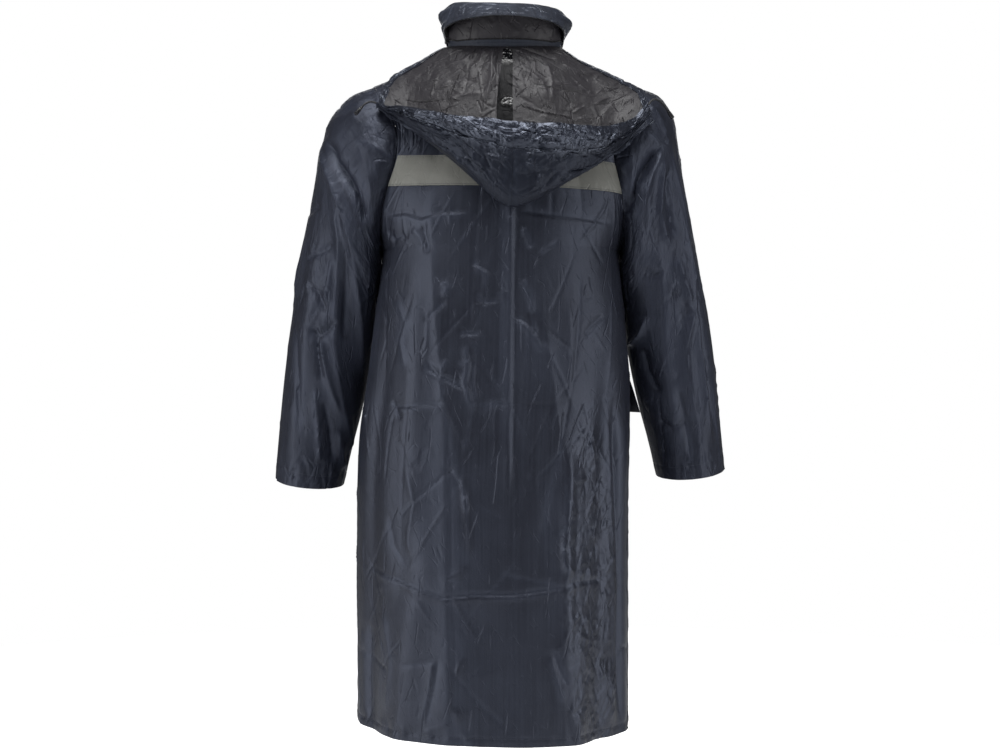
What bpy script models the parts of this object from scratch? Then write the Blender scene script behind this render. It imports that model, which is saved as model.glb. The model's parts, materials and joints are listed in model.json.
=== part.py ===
"""Long hooded raincoat, filled out as it is when worn, with nobody in it.

Metres, +Z up. The coat's front faces -Y and its back +Y, and +X is the wearer's left.
The origin lies between the two points where the shoulder seams meet the collar.
Each cloth piece is a wall of even thickness over a surface that a function gives.
Run: blender --background --python part.py
"""

import math

import bmesh
import bpy
import numpy as np
from mathutils import Matrix, Vector
from mathutils.bvhtree import BVHTree

# Cloth
WALL = 0.0014  # coated nylon, drawn thicker than it is
SEAM_GAP = 0.0003  # between two pieces that are sewn together
ROUNDNESS = 0.87  # power on the sine of a torso section; 1 is an ellipse
NECKLINE_BEND = 1.6  # how late a panel's rows bend into its neckline
SIDE_SEAM_SHARE = 0.08  # folds flatten out within this share of a panel's half width

# Body of the coat
HEM_Z = -1.143
HEM_TILT = 0.022  # rise of the hem for each metre towards the wearer's left
HEM_SIDE_RISE = 0.010  # the hem is higher at the side seams
UNDERARM_X = 0.200
UNDERARM_Z = -0.345
SHOULDER_TIP_X = 0.222
SHOULDER_TIP_Z = -0.065
NECK_SHARE = 0.42  # share of a panel's half width that its neckline takes
CLOSURE_LAP = 0.020  # each front passes the centre line by this much
LAP_LIFT = 0.0023  # the wearer's left front lies over the right one

# Neck and collar
NECK_HALF_WIDTH = 0.094
NECK_BACK_DEPTH = 0.064
NECK_FRONT_DEPTH = 0.078
NECK_SIDE_Z = -0.009
NECK_BACK_Z = -0.0105
NECK_FRONT_Z = -0.080
COLLAR_HEIGHT = 0.071  # at the back; the table below gives it all round
COLLAR_FLARE = 0.004  # the collar's top is wider than its foot
COLLAR_END_ANGLE = math.radians(179)
ZIP_END_ANGLE = math.radians(88)  # the zip ends at this angle on both sides
ZIP_TAPE_WIDTH = 0.0125
ZIP_END_RISE = 0.0065  # the zip's ends lie higher than its middle

# Reflective tape across the back
TAPE_WIDTH = 0.050
TAPE_TOP_Z = -0.2005
TAPE_TILT = 0.035
TAPE_LIFT = 0.0003
TAPE_HALF_LENGTH = 0.19

# Hood casing, seam tape, cords
HOOD_HALF_WIDTH = 0.205
HOOD_EDGE_SHARE = 0.995  # where a half's cloth ends
CASING_SHARE = 0.11  # share of the hood's length that the turned rim takes
SIDE_HEM_AT_NECK = 0.13  # share of each half's width that the turned side hem takes
SIDE_HEM_LESS = 0.11  # how much of that share it loses over the hood's length
SIDE_HEM_LEAST = 0.06
HOOD_TAPE_WIDTH = 0.025
CORD_DIAMETER = 0.0032
CORD_END_DIAMETER = 0.0068
CORD_END_LENGTH = 0.017
CORD_POINT_SPACING = 0.0064
BELL_PROFILE = ((0.62, 0.0), (0.80, 0.12), (0.92, 0.45), (1.0, 0.85), (0.86, 1.0))

# Front closure and pockets
SNAP_DIAMETER = 0.0135
SNAP_HEIGHT = 0.0026
SNAP_ROWS = (24, 21, 18, 15, 13, 11, 9, 7, 5)  # rows of the front's points that hold one
SNAP_PROFILE = ((1.0, 0.0), (1.0, 0.45), (0.86, 0.82), (0.5, 1.0))
FLAP_TOP_Z = -0.555
FLAP_DEPTH = 0.062
FLAP_FROM, FLAP_TO = 0.50, 0.93  # shares of the front's half width
FLAP_BULGE = 0.55  # share of its stand that a flap has halfway down
FLAP_STAND = {"left": 0.004, "right": 0.020}  # how far each flap's rear corner stands off

# Zip slider and its pull tab
SLIDER_ANGLE = math.radians(78)
SLIDER_WIDTH = 0.0080
SLIDER_HEIGHT = 0.0090
SLIDER_DEPTH = 0.0030
LUG_WIDTH = 0.0012
LUG_HEIGHT = 0.0034
LUG_REACH = 0.0026
LUG_SUNK = 0.0008  # each lug starts this deep in the slider
HINGE_RISE = 0.0022  # the hinge's axis above the slider's middle
HINGE_SHARE = 0.62  # where on the lugs' reach the axis lies
PULL_WIDTH = 0.0044
PULL_LENGTH = 0.0090
PULL_THICKNESS = 0.0012

# Sections of the body, lowest first. The ends of a section stand behind the middle
# of the coat by the given amount, and a higher bend makes its corners rounder.
# z, half width, depth behind, depth in front, ends' y, bend, sideways shift
BODY_SECTIONS = (
    (-1.180, 0.2285, 0.198, 0.172, 0.020, 1.40, 0.0120),
    (-1.000, 0.2285, 0.191, 0.165, 0.020, 1.30, 0.0120),
    (-0.860, 0.2285, 0.184, 0.160, 0.020, 1.15, 0.0120),
    (-0.740, 0.2285, 0.177, 0.155, 0.020, 1.00, 0.0115),
    (-0.650, 0.2270, 0.171, 0.150, 0.020, 0.92, 0.0080),
    (-0.570, 0.2210, 0.167, 0.147, 0.020, 0.90, 0.0020),
    (-0.480, 0.2120, 0.162, 0.145, 0.020, 0.90, 0.0000),
    (-0.400, 0.2035, 0.157, 0.143, 0.012, 0.90, -0.0010),
    (-0.345, 0.2000, 0.152, 0.141, 0.000, 0.90, -0.0020),
    (-0.200, 0.1980, 0.139, 0.134, 0.000, 0.87, -0.0085),
    (-0.120, 0.1980, 0.116, 0.106, 0.000, 0.87, -0.0100),
    (-0.080, 0.1980, 0.102, 0.078, 0.000, 0.87, -0.0090),
    (-0.040, 0.1980, 0.084, 0.078, 0.000, 0.87, -0.0085),
    (-0.010, 0.1980, 0.064, 0.078, 0.000, 0.87, -0.0080),
    (0.080, 0.1980, 0.064, 0.078, 0.000, 0.87, -0.0080),
)

# Sections of a sleeve from the armhole down: the outer and the inner point of each
# ring, its reach behind and in front, and how far its upper half is drawn in there.
# outer x, outer z, inner x, inner z, behind, in front, drawn in
SLEEVE_SECTIONS = (
    (SHOULDER_TIP_X, SHOULDER_TIP_Z, UNDERARM_X, UNDERARM_Z, 0.085, 0.085, 0.036),
    (0.2620, -0.0830, 0.2050, -0.362, 0.096, 0.096, 0.026),
    (0.2890, -0.1160, 0.2060, -0.380, 0.092, 0.098, 0.014),
    (0.3000, -0.1520, 0.2070, -0.402, 0.085, 0.099, 0.006),
    (0.3120, -0.2080, 0.2090, -0.432, 0.075, 0.100, 0.002),
    (0.3280, -0.2900, 0.2120, -0.464, 0.064, 0.101, 0.000),
    (0.3455, -0.3900, 0.2170, -0.506, 0.053, 0.102, 0.000),
    (0.3600, -0.4800, 0.2250, -0.556, 0.044, 0.103, 0.000),
    (0.3700, -0.5600, 0.2380, -0.617, 0.036, 0.102, 0.000),
    (0.3785, -0.6450, 0.2545, -0.680, 0.030, 0.100, 0.000),
    (0.3860, -0.7300, 0.2690, -0.742, 0.026, 0.098, 0.000),
)
DRAWN_IN_TURN, DRAWN_IN_REACH = 1.3, 0.62  # angle from the outer side, and its spread
SHIFTED_SHARE = 0.35  # a sleeve follows the torso's sideways shift down to here
CUFF_DROP = 0.010  # the back of each cuff hangs lower than its sides
RIGHT_CUFF_RISE = 0.0155  # the wearer's right sleeve hangs a little higher
RISE_FROM = 0.3  # share of its length at which that starts

# Rows of the thrown-back hood, from its neck seam down inside the bag, round the
# bottom and up to the rim: each row's two ends, its middle and the bends between.
# share of length, left x, y, z, middle x, y, z, right x, y, z, roundness, rise left,
# rise right, flat in the middle
HOOD_ROWS = (
    (0.00, 0.0898, 0.000, 0.000, -0.0120, 0.0680, -0.0105, -0.1060, 0.000, -0.001, 0.5, 2, 2, 0),
    (0.07, 0.1080, 0.003, -0.006, -0.0130, 0.0830, -0.0240, -0.1300, 0.004, -0.018, 0.6, 1.9, 1.9, 0),
    (0.16, 0.1330, 0.006, -0.021, -0.0110, 0.1040, -0.0540, -0.1580, 0.007, -0.036, 0.8, 1.8, 1.8, 0),
    (0.28, 0.1680, 0.010, -0.040, -0.0080, 0.1260, -0.1000, -0.1930, 0.012, -0.056, 1, 1.7, 1.7, 0),
    (0.42, 0.1880, 0.024, -0.064, -0.0080, 0.1460, -0.1650, -0.2240, 0.022, -0.074, 1, 1.5, 1.5, 0.05),
    (0.54, 0.1970, 0.044, -0.090, -0.0140, 0.1600, -0.2380, -0.2380, 0.036, -0.096, 1, 1, 1.2, 0.10),
    (0.60, 0.2030, 0.058, -0.107, -0.0180, 0.1670, -0.2780, -0.2430, 0.046, -0.124, 1, 0.7, 1.2, 0.13),
    (0.64, 0.2050, 0.063, -0.113, -0.0180, 0.1780, -0.2880, -0.2440, 0.053, -0.143, 1, 0.65, 1.15, 0.13),
    (0.68, 0.2050, 0.068, -0.115, -0.0180, 0.1890, -0.2800, -0.2450, 0.061, -0.145, 1, 0.7, 1.4, 0.12),
    (0.82, 0.2050, 0.068, -0.112, -0.0200, 0.2040, -0.2240, -0.2450, 0.066, -0.127, 0.9, 1.1, 3.2, 0.08),
    (1.00, 0.2040, 0.064, -0.107, -0.0190, 0.2030, -0.1570, -0.2430, 0.062, -0.104, 0.8, 1.3, 8, 0),
)
HOOD_CLEARANCE = ((0.00, 0.0024), (0.10, 0.0050), (0.56, 0.0055), (0.66, 0.0095), (1.00, 0.0130))

# The collar's outer layer round the neck: how far its lower edge is lifted from the
# seam and stands out from the inner layer, and how far out its middle bends.
# degrees from the back towards the wearer's left, lifted, edge out, middle out, height
COLLAR_OPENING = (
    (-180, 0.0000, 0.0050, 0.0050, 0.0560),
    (-125, 0.0000, 0.0050, 0.0056, 0.0590),
    (-105, 0.0060, 0.0054, 0.0120, 0.0615),
    (-85, 0.0205, 0.0068, 0.0250, 0.0640),
    (-55, 0.0320, 0.0240, 0.0220, 0.0685),
    (-25, 0.0390, 0.0440, 0.0240, 0.0710),
    (0, 0.0415, 0.0500, 0.0260, 0.0715),
    (25, 0.0400, 0.0440, 0.0240, 0.0735),
    (55, 0.0345, 0.0260, 0.0200, 0.0775),
    (85, 0.0245, 0.0068, 0.0220, 0.0705),
    (105, 0.0080, 0.0054, 0.0100, 0.0640),
    (125, 0.0000, 0.0050, 0.0056, 0.0600),
    (180, 0.0000, 0.0050, 0.0050, 0.0560),
)

# Long folds and packing creases of the back: where each starts and ends on the
# panel (across from -1 to 1, and height), its half width across and its depth.
# across top, across foot, top z, foot z, half width, depth
BACK_FOLDS = (
    (0.46, 0.30, -0.340, -0.860, 0.075, 0.0050),
    (0.34, 0.42, -0.880, -1.143, 0.085, 0.0070),
    (-0.02, -0.05, -0.300, -0.640, 0.060, -0.0040),
    (-0.30, -0.36, -0.620, -1.143, 0.070, 0.0075),
    (-0.55, -0.52, -0.480, -1.143, 0.070, -0.0060),
    (0.62, 0.66, -0.450, -1.143, 0.080, -0.0070),
    (-0.72, -0.78, -0.560, -1.143, 0.080, 0.0060),
    (0.05, 0.02, -0.900, -1.143, 0.110, -0.0050),
)
FRONT_FOLDS = (
    (0.30, 0.26, -0.360, -1.143, 0.080, 0.0060),
    (0.56, 0.60, -0.300, -1.143, 0.090, -0.0070),
    (0.78, 0.80, -0.640, -1.143, 0.080, 0.0060),
)

# Folds of a sleeve: angle round it from its outer side towards the back, share of
# its length, half size round, half size along, slant and depth.
SLEEVE_FOLDS = (
    (1.30, 0.20, 0.30, 0.16, 0.6, -0.0050),
    (2.40, 0.34, 0.40, 0.07, -0.5, 0.0055),
    (1.60, 0.52, 0.50, 0.06, 0.5, -0.0050),
    (1.00, 0.72, 0.22, 0.24, 0.0, 0.0045),
    (4.40, 0.40, 0.50, 0.07, -0.4, -0.0055),
    (4.80, 0.62, 0.45, 0.08, 0.3, 0.0045),
)

# Shares of the hood's length at which it has a row of points, closest at the bottom
HOOD_LENGTHS = (0, 0.05, 0.12, 0.2, 0.28, 0.36, 0.44, 0.51, 0.56, 0.6, 0.64, 0.68, 0.73)
HOOD_LENGTHS += (0.79, 0.84, 1 - CASING_SHARE, 1 - CASING_SHARE / 2, 1.0)

# Routes of the two cord ends that come out of the hood's corners
LEFT_CORD_ROUTE = (
    (0.2048, 0.0741, -0.1053),
    (0.2096, 0.0738, -0.1036),
    (0.2160, 0.0765, -0.1040),
    (0.2220, 0.0800, -0.1070),
    (0.2275, 0.0815, -0.1130),
)
RIGHT_CORD_ROUTE = (
    (-0.2459, 0.0727, -0.1070),
    (-0.2500, 0.0702, -0.1015),
    (-0.2570, 0.0682, -0.0980),
    (-0.2650, 0.0664, -0.1008),
    (-0.2720, 0.0645, -0.1070),
    (-0.2775, 0.0635, -0.1145),
)
CORD_CLEARANCE = 0.0030


def clear_scene():
    for obj in list(bpy.data.objects):
        bpy.data.objects.remove(obj)


def material(name, color, roughness, metallic=0.0):
    made = bpy.data.materials.new(name)
    made.use_nodes = True
    shader = made.node_tree.nodes["Principled BSDF"]
    shader.inputs["Base Color"].default_value = (*color, 1.0)
    shader.inputs["Roughness"].default_value = roughness
    shader.inputs["Metallic"].default_value = metallic
    return made


def signed_power(value, power):
    """A power that keeps the sign, so that a curve passes smoothly through zero."""
    return np.sign(value) * np.abs(value) ** power


def smooth_step(value):
    value = np.clip(value, 0.0, 1.0)
    return value * value * (3 - 2 * value)


def through(table, where):
    """Values of a table's other columns at a value of its first, on a smooth curve."""
    rows = np.array(table, float)
    keys = rows[:, 0]
    slopes = np.gradient(rows[:, 1:], keys, axis=0)
    where = np.asarray(where, float)
    low = np.clip(np.searchsorted(keys, where) - 1, 0, len(keys) - 2)
    span = keys[low + 1] - keys[low]
    t = ((where - keys[low]) / span)[..., None]
    span = span[..., None]
    start, end = rows[low, 1:], rows[low + 1, 1:]
    return (
        (2 * t**3 - 3 * t**2 + 1) * start
        + (t**3 - 2 * t**2 + t) * span * slopes[low]
        + (3 * t**2 - 2 * t**3) * end
        + (t**3 - t**2) * span * slopes[low + 1]
    )


def neck_seam(angle):
    """Point of the neck seam at an angle from the centre back, towards +X."""
    turn = np.cos(angle)
    depth = np.where(turn > 0, NECK_BACK_DEPTH, NECK_FRONT_DEPTH)
    middle_z = np.where(turn > 0, NECK_BACK_Z, NECK_FRONT_Z)
    x = NECK_HALF_WIDTH * np.sin(angle)
    z = NECK_SIDE_Z + (middle_z - NECK_SIDE_Z) * turn**2
    return np.stack([x, depth * turn, z], axis=-1)


def ring_point(section, turn):
    """Point of a sleeve's ring: turn is 0 at its outer side and pi/2 at its back."""
    outer_x, outer_z, inner_x, inner_z, behind, front, drawn = section
    along, across = np.cos(turn), np.sin(turn)
    from_outer = np.abs((turn + math.pi) % (2 * math.pi) - math.pi)
    inward = drawn * np.exp(-(((from_outer - DRAWN_IN_TURN) / DRAWN_IN_REACH) ** 2))
    x = (outer_x + inner_x) / 2 + (outer_x - inner_x) / 2 * along
    z = (outer_z + inner_z) / 2 + (outer_z - inner_z) / 2 * along
    y = (behind - front) / 2 + (behind + front) / 2 * across
    return np.stack([x - inward, y, z], axis=-1)


def armhole(turn):
    """Point of the left armhole, which is the sleeve's first ring."""
    return ring_point(SLEEVE_SECTIONS[0], turn)


def armhole_out(turn):
    """Direction away from the armhole's middle, square to its edge and to X."""
    along = armhole(turn + 0.01) - armhole(turn - 0.01)
    out = np.stack([0 * turn, along[..., 2], -along[..., 1]], axis=-1)
    return out / np.linalg.norm(out, axis=-1, keepdims=True) * -1


def fold_height(across, z, folds):
    total = np.zeros(np.broadcast(across, z).shape)
    for top, foot, top_z, foot_z, half_width, depth in folds:
        down = (top_z - z) / (top_z - foot_z)
        line = top + (foot - top) * np.clip(down, 0, 1)
        fade = smooth_step(down / 0.25) * smooth_step((1.25 - down) / 0.25)
        total = total + depth * fade * np.exp(-(((across - line) / half_width) ** 2))
    return total


def body_surface(height, across, facing):
    """Point of a body panel. across runs from -1 at one side seam to 1 at the other,
    height from 0 at the hem over 1 at the underarm to 2 at the shoulder seam, and
    facing is 1 for the back and -1 for the front."""
    height, across = np.broadcast_arrays(height, across)
    side = np.where(across < 0, -1.0, 1.0)
    share = np.abs(across)
    rise = np.maximum(height - 1, 0)
    skirt_z = HEM_Z + (UNDERARM_Z - HEM_Z) * np.minimum(height, 1)
    neck_middle = neck_seam(0.0 if facing > 0 else math.pi)
    middle_z = skirt_z + (neck_middle[2] - UNDERARM_Z) * rise
    section = np.moveaxis(through(BODY_SECTIONS, middle_z), -1, 0)
    half_width, behind, front, end_y, ring_bend, _ = section
    middle_y = behind if facing > 0 else -front
    hole = armhole(math.pi * (1 - rise) * facing)
    above = rise > 0
    side_x = np.where(above, hole[..., 0], half_width)
    side_y = np.where(above, hole[..., 1], end_y)
    side_z = np.where(above, hole[..., 2], skirt_z)

    # Each row is a section: its ends, its middle and a rounded way between them.
    quarter = share * math.pi / 2
    ring_x = signed_power(np.sin(quarter), ROUNDNESS)
    ring_y = signed_power(np.cos(quarter), ring_bend)
    x = side_x * ring_x
    y = side_y + (middle_y - side_y) * ring_y
    z = side_z + (middle_z - side_z) * ring_y

    # Near the top a row bends into the neckline and the two shoulder seams.
    neck_turn = np.clip(share / NECK_SHARE, 0, 1) * math.pi / 2
    neck = neck_seam(neck_turn if facing > 0 else math.pi - neck_turn)
    out = np.maximum(share - NECK_SHARE, 0) / (1 - NECK_SHARE)
    top_x = neck[..., 0] + (SHOULDER_TIP_X - NECK_HALF_WIDTH) * out
    top_z = neck[..., 2] + (SHOULDER_TIP_Z - NECK_SIDE_Z) * out
    near_top = rise**NECKLINE_BEND
    x = x + near_top * (top_x - SHOULDER_TIP_X * ring_x)
    y = y + near_top * (neck[..., 1] - neck_middle[1] * ring_y)
    fall = neck_middle[2] - SHOULDER_TIP_Z
    z = z + near_top * (top_z - SHOULDER_TIP_Z - fall * ring_y)
    at_hem = smooth_step(1 - height)
    z = z + (HEM_TILT * side * x + HEM_SIDE_RISE * share**6 * at_hem**3) * at_hem
    return np.stack([side * x + section_shift(z), y, z], axis=-1)


def section_shift(z):
    """How far to the side the coat's sections stand at a height."""
    return through(BODY_SECTIONS, z)[..., -1]


def grid_normals(points):
    """Unit normals of a grid of points, by differences between neighbours."""
    along, across = np.gradient(points, axis=0), np.gradient(points, axis=1)
    normal = np.cross(across, along)
    return normal / np.linalg.norm(normal, axis=-1, keepdims=True)


def outer_faces(grids):
    """A search tree over the outer faces of several grids of points and normals."""
    places, faces = [], []
    for points, normals in grids:
        rows, columns = points.shape[:2]
        first = len(places)
        places += [Vector(point) for point in points.reshape(-1, 3)]
        flat_normals = normals.reshape(-1, 3)
        for row in range(rows - 1):
            for column in range(columns - 1):
                corner = row * columns + column
                face = [corner, corner + 1, corner + columns + 1, corner + columns]
                a, b, c = (places[first + index] for index in (face[0], face[1], face[3]))
                if (b - a).cross(c - a).dot(Vector(flat_normals[corner])) < 0:
                    face.reverse()
                faces.append([first + index for index in face])
    return BVHTree.FromPolygons(places, faces)


def held_off(points, cloth, clearance):
    """Points moved out until each stands off the cloth below it by its clearance."""
    clearance = np.broadcast_to(clearance, points.shape[:-1])
    moved = points.copy()
    for place in np.ndindex(points.shape[:-1]):
        point = Vector(points[place])
        for _ in range(4):
            nearest, normal, _, _ = cloth.find_nearest(point)
            short = clearance[place] - (point - nearest).dot(normal)
            if short > 0:
                point = point + normal * short
        moved[place] = point
    return moved


def normals_of(surface, rows, columns):
    """Unit normals of a surface function on a grid, by central differences."""
    step = 0.004
    along = surface(rows + step, columns) - surface(rows - step, columns)
    across = surface(rows, columns + step) - surface(rows, columns - step)
    normal = np.cross(across, along)
    return normal / np.linalg.norm(normal, axis=-1, keepdims=True)


def make_wall(name, cloth, grid, ring=False):
    """A closed wall whose outer face is the grid's points; it grows against their
    normals. A ring joins its last column to its first."""
    points, normals = grid
    rows, columns = points.shape[:2]
    mesh = bmesh.new()
    outer, inner = (
        [[mesh.verts.new(point) for point in row] for row in layer]
        for layer in (points, points - normals * WALL)
    )
    wrapped = list(range(columns)) + ([0] if ring else [])
    for layer in (outer, inner):
        for low, high in zip(layer, layer[1:]):
            for left, right in zip(wrapped, wrapped[1:]):
                mesh.faces.new((low[left], low[right], high[right], high[left]))
    rims = [[(row, column) for column in wrapped] for row in (0, rows - 1)]
    if not ring:
        rims += [[(row, column) for row in range(rows)] for column in (0, columns - 1)]
    for rim in rims:
        for (row, column), (next_row, next_column) in zip(rim, rim[1:]):
            edge = [outer[row][column], outer[next_row][next_column]]
            edge += [inner[next_row][next_column], inner[row][column]]
            mesh.faces.new(edge)
    bmesh.ops.recalc_face_normals(mesh, faces=mesh.faces)
    return finish_object(name, mesh, cloth)


def part_of_grid(grid, rows, columns, lift):
    """A piece that lies on a panel: some of the panel's points, moved out."""
    points, normals = (layer[rows, columns] for layer in grid)
    lift = np.asarray(lift, float)[..., None]
    return points + normals * lift, normals


def finish_object(name, mesh, cloth, sharp_degrees=40):
    data = bpy.data.meshes.new(name)
    mesh.to_mesh(data)
    mesh.free()
    data.materials.append(cloth)
    data.shade_smooth()
    data.set_sharp_from_angle(angle=math.radians(sharp_degrees))
    obj = bpy.data.objects.new(name, data)
    bpy.context.scene.collection.objects.link(obj)
    return obj


def height_of(z, across, facing):
    """The height share at which a panel's point lies at a given z, by halving."""
    z, across = np.broadcast_arrays(z, across)
    low, high = np.zeros(across.shape), np.full(across.shape, 2.0)
    for _ in range(30):
        middle = (low + high) / 2
        above = body_surface(middle, across, facing)[..., 2] > z
        high = np.where(above, middle, high)
        low = np.where(above, low, middle)
    return (low + high) / 2


def panel_grid(heights, across, facing, folds):
    """Outer points and normals of a body panel, with its folds and shared seams."""

    def surface(height, across_at):
        return body_surface(height, across_at, facing)

    rows, columns = np.broadcast_arrays(heights, across)
    points = surface(rows, columns)
    normals = -facing * normals_of(surface, rows, columns)
    inside = smooth_step((1 - np.abs(columns)) / SIDE_SEAM_SHARE)
    level = smooth_step((2 - rows) / 0.5) * inside
    folded = columns if facing > 0 else np.abs(columns)
    points = points + normals * (fold_height(folded, points[..., 2], folds) * level)[..., None]
    slope = math.atan2(NECK_SIDE_Z - SHOULDER_TIP_Z, SHOULDER_TIP_X - NECK_HALF_WIDTH)
    on_shoulder = (rows >= 2) & (np.abs(columns) >= NECK_SHARE)
    on_side = (rows <= 1) & (np.abs(columns) >= 1)
    on_armhole = (rows > 1) & (rows < 2) & (np.abs(columns) >= 1)
    on_neck = (rows >= 2) & (np.abs(columns) < NECK_SHARE)
    side, zero = np.sign(columns), 0 * columns
    ridge = np.stack([side * math.sin(slope), zero, zero + math.cos(slope)], -1)
    normals[on_shoulder] = ridge[on_shoulder]
    normals[on_side] = np.stack([side, zero, zero], -1)[on_side]
    neck_turn = columns / NECK_SHARE * math.pi / 2
    neck_angle = neck_turn if facing > 0 else math.pi - neck_turn
    normals[on_neck] = outward(neck_angle)[on_neck]
    normals[on_armhole] = armhole_out(math.pi * (2 - rows) * facing)[on_armhole]
    points[..., 1] += facing * SEAM_GAP * (on_shoulder | on_side)
    return points, normals


def back_rows():
    """The back's columns and, for each, the height shares of its rows."""
    half = np.concatenate(
        [np.linspace(0, NECK_SHARE, 9), np.linspace(NECK_SHARE, 0.90, 7)[1:], [0.975, 1.0]]
    )
    across = np.concatenate([-half[:0:-1], half])
    tape_share = np.array([0, 0.5, 1])[:, None]
    tape_z = TAPE_TOP_Z - TAPE_WIDTH * (1 - tape_share) + TAPE_TILT * TAPE_HALF_LENGTH * across
    tape_rows = height_of(tape_z, across, 1)
    below = 1 + (tape_rows[0] - 1) * np.array([0.5])[:, None]
    above = tape_rows[-1] + (2 - tape_rows[-1]) * np.linspace(0, 1, 7)[1:, None]
    skirt = np.repeat(np.linspace(0, 1, 19)[:, None], len(across), axis=1)
    return across, np.concatenate([skirt, below, tape_rows, above])


def make_back(cloth, reflective):
    """The back, and the reflective tape sewn across it."""
    across, heights = back_rows()
    grid = panel_grid(heights, across, 1, BACK_FOLDS)
    make_wall("back", cloth, grid)
    tape = part_of_grid(grid, slice(20, 23), slice(1, -1), WALL + TAPE_LIFT)
    make_wall("reflective_tape", reflective, tape)
    return grid


def lap_share():
    """The share of a front's half width that passes the centre line by the lap."""
    reach = (CLOSURE_LAP / BODY_SECTIONS[0][1]) ** (1 / ROUNDNESS)
    return math.asin(reach) * 2 / math.pi


def front_rows():
    """The columns of a front, from its free edge outwards, and its rows."""
    lap = lap_share()
    half = [-lap, 0.0, lap, 2.5 * lap, 0.15, 0.21, 0.28, 0.35, NECK_SHARE, FLAP_FROM]
    half += [0.6, 0.7, 0.8, FLAP_TO, 1.0]
    flap_rows = [
        (z - HEM_Z) / (UNDERARM_Z - HEM_Z)
        for z in (FLAP_TOP_Z - FLAP_DEPTH, FLAP_TOP_Z - FLAP_DEPTH / 2, FLAP_TOP_Z)
    ]
    below = np.linspace(0, flap_rows[0], 10, endpoint=False)
    over = np.linspace(flap_rows[-1], 1, 6)[1:]
    return np.array(half), np.concatenate([below, flap_rows, over, np.linspace(1, 2, 9)[1:]])


def front_grid(side):
    """The wearer's left front, side 1, lies over the right one, side -1."""
    lap = lap_share()
    half, heights = front_rows()
    across = side * half
    points, normals = panel_grid(heights[:, None], across, -1, FRONT_FOLDS)
    if side > 0:
        over_other = smooth_step((4 * lap - across) / (2.5 * lap))
        points = points + normals * (LAP_LIFT * over_other)[None, :, None]
    return points, normals


def make_fronts(cloth):
    grids = []
    for name, side in (("left", 1), ("right", -1)):
        grid = front_grid(side)
        make_wall(f"front_{name}", cloth, grid)
        along = np.linspace(0, 1, 6)
        down = np.array([1, FLAP_BULGE, 0])[:, None]
        lift = WALL + TAPE_LIFT + FLAP_STAND[name] * along**2 * down
        flap = part_of_grid(grid, slice(10, 13), slice(9, 14), lift[:, 1:])
        make_wall(f"pocket_flap_{name}", cloth, flap)
        grids.append(grid)
    return grids


def sleeve_turns(side):
    """Angles of a sleeve's columns, which meet the rows of the back and the front."""
    across, heights = back_rows()
    behind = heights[:, -1 if side > 0 else 0]
    _, before = front_rows()
    turns = [math.pi * (2 - height) for height in behind if height >= 1]
    turns += [2 * math.pi - math.pi * (2 - height) for height in before if 1 < height < 2]
    return np.sort(np.array(turns))


def sleeve_surface(share, turn):
    """Point of the left sleeve: share of its length and angle round it, from its
    outer side towards the back."""
    table = np.column_stack([np.linspace(0, 1, len(SLEEVE_SECTIONS)), SLEEVE_SECTIONS])
    return ring_point(np.moveaxis(through(table, share), -1, 0), turn)


def sleeve_fold_height(share, turn):
    total = np.zeros(np.broadcast(share, turn).shape)
    for angle, middle, half_turn, half_length, slant, depth in SLEEVE_FOLDS:
        away = (turn - angle + math.pi) % (2 * math.pi) - math.pi
        down = share - middle - slant * away * 0.1
        total = total + depth * np.exp(-((away / half_turn) ** 2) - (down / half_length) ** 2)
    return total


def make_sleeve(name, cloth, side):
    turn = sleeve_turns(side)[None, :]
    share = np.linspace(0, 1, 18)[:, None]
    share, turn = np.broadcast_arrays(share, turn)
    points = sleeve_surface(share, turn)
    normals = -normals_of(sleeve_surface, share, turn)
    normals[0] = armhole_out(turn[0])
    lift = sleeve_fold_height(share, turn) * smooth_step(share / 0.12)
    points = points + normals * lift[..., None]
    points[0, :, 0] += SEAM_GAP
    at_body = 1 - smooth_step(share / SHIFTED_SHARE)
    points[..., 0] = side * points[..., 0] + section_shift(points[..., 2]) * at_body
    points[..., 2] -= CUFF_DROP * np.maximum(np.sin(turn), 0) * share**3
    if side < 0:
        points[..., 2] += RIGHT_CUFF_RISE * smooth_step((share - RISE_FROM) / (1 - RISE_FROM))
    normals[..., 0] *= side
    make_wall(name, cloth, (points, normals), ring=True)
    wrapped = list(range(points.shape[1])) + [0]
    return points[:, wrapped], normals[:, wrapped]


def hood_surface(length, across):
    """Point of the hood: length is 0 at the neck seam and 1 at the rim, and across
    runs from -1 at the wearer's right edge to 1 at the left one."""
    length, across = np.broadcast_arrays(length, across)
    row = through(HOOD_ROWS, length)
    left, middle, right = row[..., 0:3], row[..., 3:6], row[..., 6:9]
    roundness, flat = row[..., 9], np.maximum(row[..., 12], 0)
    rise = np.where(across > 0, row[..., 10], row[..., 11])
    share = np.abs(across)
    end = np.where((across > 0)[..., None], left, right)
    bend = np.maximum(1 - share**2, 0) ** roundness
    lowest, highest = flat**rise, (1 + flat**2) ** (rise / 2)
    climb = ((share**2 + flat**2) ** (rise / 2) - lowest) / (highest - lowest)
    x = middle[..., 0] + (end[..., 0] - middle[..., 0]) * share
    y = end[..., 1] + (middle[..., 1] - end[..., 1]) * bend
    z = middle[..., 2] + (end[..., 2] - middle[..., 2]) * climb
    return np.stack([x, y, z], axis=-1)


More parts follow.
